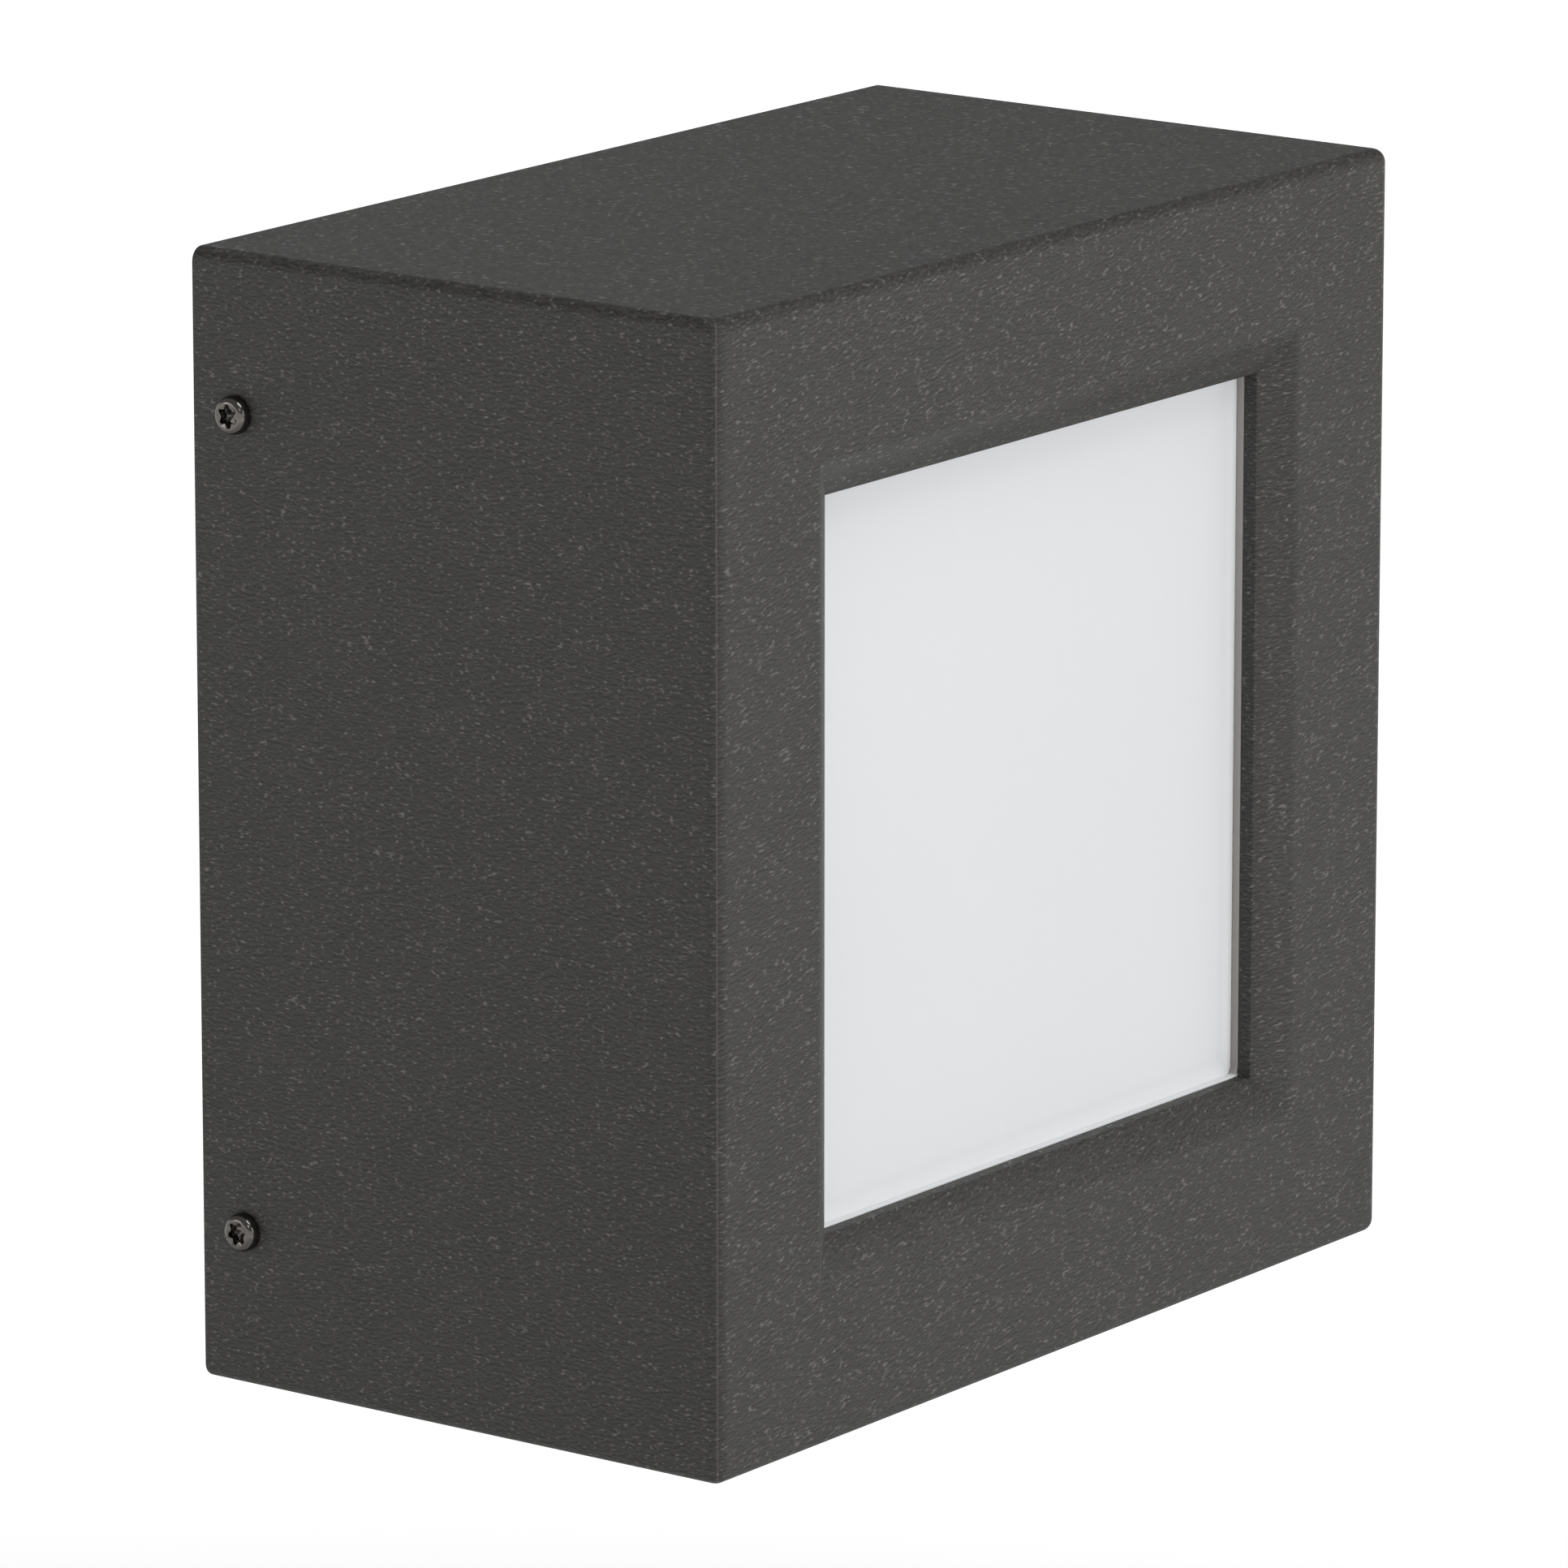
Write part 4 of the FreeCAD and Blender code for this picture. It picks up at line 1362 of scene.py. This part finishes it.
# ---- lamp ------------------------------------------------------------------------------------
@dataclass
class Lamp:
    """Screw-in lamp: opal globe, tapered collar, rolled thread cap and foot contact."""

    thread_depth: float = 0.0011
    thread_pitch: float = 0.0036
    cap_wall: float = 0.0004
    globe_sink: float = 0.0003
    globe_gap: float = 0.0001
    collar_foot: float = 0.0145
    collar_edge: float = 0.0006
    collar_gap: float = 0.0002
    shoulder: tuple[float, float] = (0.0005, 0.001)
    collar_steps: int = 18
    cone_tip: tuple[float, float] = (0.005, 0.0062)
    cone_edge: float = 0.0002
    cone_rim: tuple[float, float] = (0.0014, 0.0008)
    contact_steps: int = 8

    def build(self, shop: Workshop) -> None:
        """Make every piece of the lamp.

        Args:
            shop: The workshop that finishes them.
        """
        body = Body.LAMP.value
        low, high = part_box("lamp_cap")
        self.axis = Vector(((low.x + high.x) / 2, (low.y + high.y) / 2, 0))
        pieces = (("milky_globe", self.globe(), Slot.DIFFUSER, "lamp_globe"),
                  ("lamp_body", self.collar(), Slot.HOUSING, "lamp_collar"),
                  ("screw_cap", self.cap(), Slot.NICKEL, "lamp_cap"),
                  ("cap_insulation", self.insulator(), Slot.VITRITE, "lamp_insulator"),
                  ("foot_contact", self.contact(), Slot.TIN, "lamp_contact"))
        for name, form, slot, node in pieces:
            bmesh.ops.translate(form, vec=self.axis, verts=form.verts)
            shop.piece(name, form, slot, body, [node])

    def globe(self) -> Form:
        """Turn the globe, closed by a thin base inside the collar.

        Returns:
            The globe.
        """
        low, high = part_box("lamp_globe")
        radius = (high.x - low.x) / 2
        middle = high.z - radius
        cut = math.degrees(math.asin((low.z + self.globe_sink - middle) / radius))
        outline = arc((0, middle), radius - self.globe_gap, cut, 90, 40)
        outline.insert(0, (0, outline[0][1]))
        outline[-1] = (0, outline[-1][1])
        return turned(outline, 96)

    def collar(self) -> Form:
        """Turn the collar with a shoulder under the globe and a foot on the cap.

        Returns:
            The collar.
        """
        low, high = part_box("lamp_collar")
        top = high.z
        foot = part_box("lamp_cap")[1].z
        rise = top - foot
        wide = (high.x - low.x) / 2
        narrow, edge, gap = self.collar_foot, self.collar_edge, self.collar_gap
        outline = [(0, foot), (narrow - edge, foot), (narrow, foot + edge)]
        for step in range(1, self.collar_steps + 1):
            share = step / self.collar_steps
            ease = share * share * (3 - 2 * share)
            outline.append((narrow + (wide - gap - narrow) * (0.35 * share + 0.65 * ease),
                            foot + edge + (rise - 2 * edge) * share))
        outline += [(wide - self.shoulder[0], top - gap), (wide - self.shoulder[1], top),
                    (0, top)]
        return turned(outline, 96)

    def cap(self) -> Form:
        """Roll the cap's thread between a plain top and bottom band.

        Returns:
            The cap.
        """
        low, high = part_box("lamp_cap")
        crest = (high.x - low.x) / 2
        return threaded_sleeve(crest, self.thread_depth, self.thread_pitch, low.z, high.z,
                               self.cap_wall)

    def insulator(self) -> Form:
        """Turn the black glass cone.

        Returns:
            The cone.
        """
        low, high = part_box("lamp_insulator")
        wide = (high.x - low.x) / 2
        (tip, shoulder), (inset, drop), edge = self.cone_tip, self.cone_rim, self.cone_edge
        outline = [(0, low.z), (tip, low.z), (shoulder, low.z + 2 * edge),
                   (wide - inset, high.z - drop), (wide - edge, high.z - edge),
                   (wide - 2 * edge, high.z), (0, high.z)]
        return turned(outline, 64)

    def contact(self) -> Form:
        """Turn the soldered foot contact.

        Returns:
            The contact.
        """
        low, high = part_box("lamp_contact")
        wide = (high.x - low.x) / 2
        drop = high.z - low.z
        outline = [(0, low.z)]
        for step in range(1, self.contact_steps + 1):
            angle = math.pi / 2 * step / self.contact_steps
            outline.append((wide * math.sin(angle), high.z - drop * math.cos(angle)))
        outline += [(wide, high.z), (0, high.z)]
        return turned(outline, 48)


# ---- base ------------------------------------------------------------------------------------
@dataclass
class Base:
    """Wall plate with its seals, lampholder, terminal block, earth and leads."""

    grommet_rings: int = 3
    grommet_bore: float = 0.0045
    grommet_neck: float = 0.011
    grommet_flange: float = 0.014
    grommet_nose: float = 0.0065
    grommet_lip: float = 0.0025
    nose_flare: float = 0.003
    plate_sheet: float = 0.002
    back_chamfer: float = 0.0005
    fine_chamfer: float = 0.0004
    lip_chamfer: float = 0.0006
    shell_clearance: float = 0.0003
    shell_wall: float = 0.0004

    def build(self, shop: Workshop) -> None:
        """Make every piece of the base.

        Args:
            shop: The workshop that finishes them.
        """
        body = Body.BASE.value
        shop.softened("base_plate", "wall_plate", Slot.BASE_COAT, body, 0.0004)
        shop.softened("wall_gasket", "foam_frame", Slot.FOAM, body, 0.0004)
        shop.piece("cable_gland", self.grommet(), Slot.RUBBER, body, ["cable_grommet"])
        shop.softened("lampholder_bracket", "holder_shelf", Slot.ZINC, body, 0.0003)
        shop.softened("lampholder_body", "ceramic_holder", Slot.CERAMIC, body, 0.0007)
        shop.piece("holder_thread", self.shell(), Slot.NICKEL, body, ["lampholder_shell"])
        shop.softened("lampholder_contact", "middle_contact", Slot.BRASS, body, 0.0004)
        shop.softened("terminal_block", "terminal_housing", Slot.TERMINAL, body, 0.0004)
        shop.softened("terminal_clamps", "clamp_bars", Slot.BRASS, body, 0.0002)
        shop.softened("terminal_screws", "clamp_screws", Slot.ZINC, body, 0.0001)
        for node in ("bracket_screws", "lampholder_screws", "terminal_mount_screws"):
            shop.softened(node, node.replace("screws", "screw_set"), Slot.ZINC, body, 0.0002)
        shop.softened("earth_screw", "earth_bolt", Slot.BRASS, body, 0.0002)
        shop.softened("earth_washer", "earth_disc", Slot.ZINC, body, 0.0002)
        shop.softened("earth_ring", "earth_tag", Slot.TIN, body, 0.0002)
        shop.dress("line_lead", Slot.BROWN)
        shop.dress("neutral_lead", Slot.BLUE)
        shop.dress("earth_lead", Slot.EARTH)

    def grommet(self) -> Form:
        """Turn the grommet with a ribbed nose.

        Returns:
            The grommet.
        """
        low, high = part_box("cable_grommet")
        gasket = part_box("wall_gasket")[0].y
        bore, nose, flange = self.grommet_bore, self.grommet_nose, self.grommet_flange
        fine, lip, rounded = self.fine_chamfer, self.grommet_lip, self.lip_chamfer
        front = -(gasket - self.plate_sheet)
        outline = [(bore, high.y), (flange - self.back_chamfer, high.y),
                   (flange, self.back_chamfer), (flange, -gasket - fine),
                   (flange - fine, -gasket), (self.grommet_neck, -gasket),
                   (self.grommet_neck, front), (flange - fine, front), (flange, front + fine),
                   (flange, front + lip - rounded), (flange - rounded, front + lip)]
        start = front + lip
        end = -low.y
        wide = nose + self.nose_flare
        for ring in range(self.grommet_rings * 4 + 1):
            share = ring / (self.grommet_rings * 4)
            bulge = fine * math.sin(math.pi * 2 * self.grommet_rings * share) ** 2
            outline.append((wide + (nose - wide) * share + bulge, start + (end - start) * share))
        outline += [(bore + fine, end), (bore, end - fine), (bore, high.y)]
        form = turned(outline, 64)
        turn = Matrix.Rotation(math.pi / 2, 4, "X")
        bmesh.ops.transform(form, matrix=turn, verts=form.verts)
        bmesh.ops.recalc_face_normals(form, faces=form.faces)
        return form

    def shell(self) -> Form:
        """Roll the holder's thread to match the lamp's cap.

        Returns:
            The threaded shell.
        """
        low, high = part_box("lampholder_shell")
        lamp = Lamp()
        cap_low, cap_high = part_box("lamp_cap")
        crest = (cap_high.x - cap_low.x) / 2 + self.shell_clearance
        shift = (cap_low.z - low.z) % lamp.thread_pitch
        form = threaded_sleeve(crest, lamp.thread_depth, lamp.thread_pitch,
                               cap_low.z - shift - lamp.thread_pitch * 2, high.z,
                               -self.shell_wall)
        middle = (low + high) / 2
        trim(form, low.z, 1)
        bmesh.ops.triangle_fill(form, use_beauty=True, edges=open_edges(form))
        bmesh.ops.recalc_face_normals(form, faces=form.faces)
        bmesh.ops.translate(form, vec=(middle.x, middle.y, 0), verts=form.verts)
        return form


# ---- studio ----------------------------------------------------------------------------------
@dataclass(frozen=True)
class SoftBox:
    """A soft box, aimed at the middle of the lantern; power is in watts."""

    name: str
    place: Triple
    width: float
    power: float


SOFT_BOXES = (SoftBox("key_box", (0.5, -3.0, 0.9), 1.8, 24.0),
              SoftBox("top_box", (0.2, -1.4, 2.8), 2.0, 36.0),
              SoftBox("left_box", (-2.6, 1.7, 0.5), 1.2, 5.5),
              SoftBox("glint_box", (-1.2, -1.1, 1.0), 0.2, 1.6))


@dataclass
class Studio:
    """Pale floor, soft lights and the camera."""

    azimuth: float = math.radians(-53.49)
    elevation: float = math.radians(13.48)
    lens: float = 261.7
    distance: float = 2.287
    sensor_width: float = 36.0
    far_clip: float = 200.0
    target_x: float = 0.0222
    target_z: float = 0.1422
    floor_drop: float = 0.55
    floor_reach: float = 40.0
    glow_near: float = 0.04
    glow_far: float = 0.7
    glow_start: float = 1.5
    glow_end: float = 4.0
    sky_start: float = 0.05
    sky_end: float = 0.3
    box_height: float = 0.75
    sky_low: float = 1.1
    sky_high: float = 0.32

    def build(self) -> None:
        """Make the floor, the sky, the lights and the camera."""
        self.low, self.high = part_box("cover_shell")
        self.floor()
        self.sky()
        self.soft_boxes()
        self.camera()
        LOG.info("studio ready")

    def floor(self) -> None:
        """Lay a pale floor well under the lantern, which hangs on a wall."""
        form = bmesh.new()
        place = Matrix.Translation((0, 0, self.low.z - self.floor_drop))
        bmesh.ops.create_grid(form, x_segments=1, y_segments=1, size=self.floor_reach,
                              matrix=place)
        floor = raw_object("studio_floor", form)
        graph = Graph("studio_floor")
        away = graph.node("ShaderNodeVectorMath", {"operation": "LENGTH"}, {0: graph.place})
        rise = Value(graph, away.outputs["Value"]).ramp(self.floor_drop * self.glow_start,
                                                        self.floor_drop * self.glow_end)
        graph.surface(Base_Color=grey(0.9), Roughness=0.9, Emission_Strength=1.0,
                      Emission_Color=graph.blend(rise, grey(self.glow_near),
                                                 grey(self.glow_far)))
        floor.data.materials.append(graph.material)

    def sky(self) -> None:
        """Set an even, pale surrounding light."""
        world = bpy.data.worlds.new("studio_sky")
        world.use_nodes = True
        graph = Graph("studio_sky", world.node_tree)
        height = graph.axes()[2].ramp(self.sky_start, self.sky_end)
        shade = graph.blend(height, grey(self.sky_low), grey(self.sky_high))
        graph.shade("ShaderNodeBackground", "ShaderNodeOutputWorld", {"Color": shade})
        bpy.context.scene.world = world

    def soft_boxes(self) -> None:
        """Hang the soft boxes, each aimed at the middle of the lantern."""
        middle = (self.low + self.high) / 2
        for box in SOFT_BOXES:
            light = bpy.data.lights.new(box.name, "AREA")
            light.shape = "RECTANGLE"
            light.size = box.width
            light.size_y = box.width * self.box_height
            light.energy = box.power
            lamp = bpy.data.objects.new(box.name, light)
            lamp.location = box.place
            away = middle - Vector(box.place)
            lamp.rotation_euler = away.to_track_quat("-Z", "Y").to_euler()
            bpy.context.scene.collection.objects.link(lamp)

    def camera(self) -> None:
        """Stand the camera to the left of the front, a little above the lantern."""
        target = self.low + Vector((self.target_x, 0, self.target_z))
        back = Vector((math.sin(self.azimuth) * math.cos(self.elevation),
                       -math.cos(self.azimuth) * math.cos(self.elevation),
                       math.sin(self.elevation)))
        data = bpy.data.cameras.new("camera")
        data.lens = self.lens
        data.sensor_width = self.sensor_width
        data.clip_end = self.far_clip
        seat = bpy.data.objects.new("camera", data)
        seat.location = target + back * self.distance
        seat.rotation_euler = (-back).to_track_quat("-Z", "Y").to_euler()
        bpy.context.scene.collection.objects.link(seat)
        bpy.context.scene.camera = seat
        bpy.context.scene.view_settings.view_transform = "Standard"


def main() -> None:
    """Build the studio and every piece of the lantern."""
    logging.basicConfig(level=logging.INFO, format="%(message)s")
    Studio().build()
    shop = Workshop(FinishShelf())
    Cover().build(shop)
    SideScrew().build(shop)
    Lamp().build(shop)
    Base().build(shop)


if __name__ == "__main__":
    main()
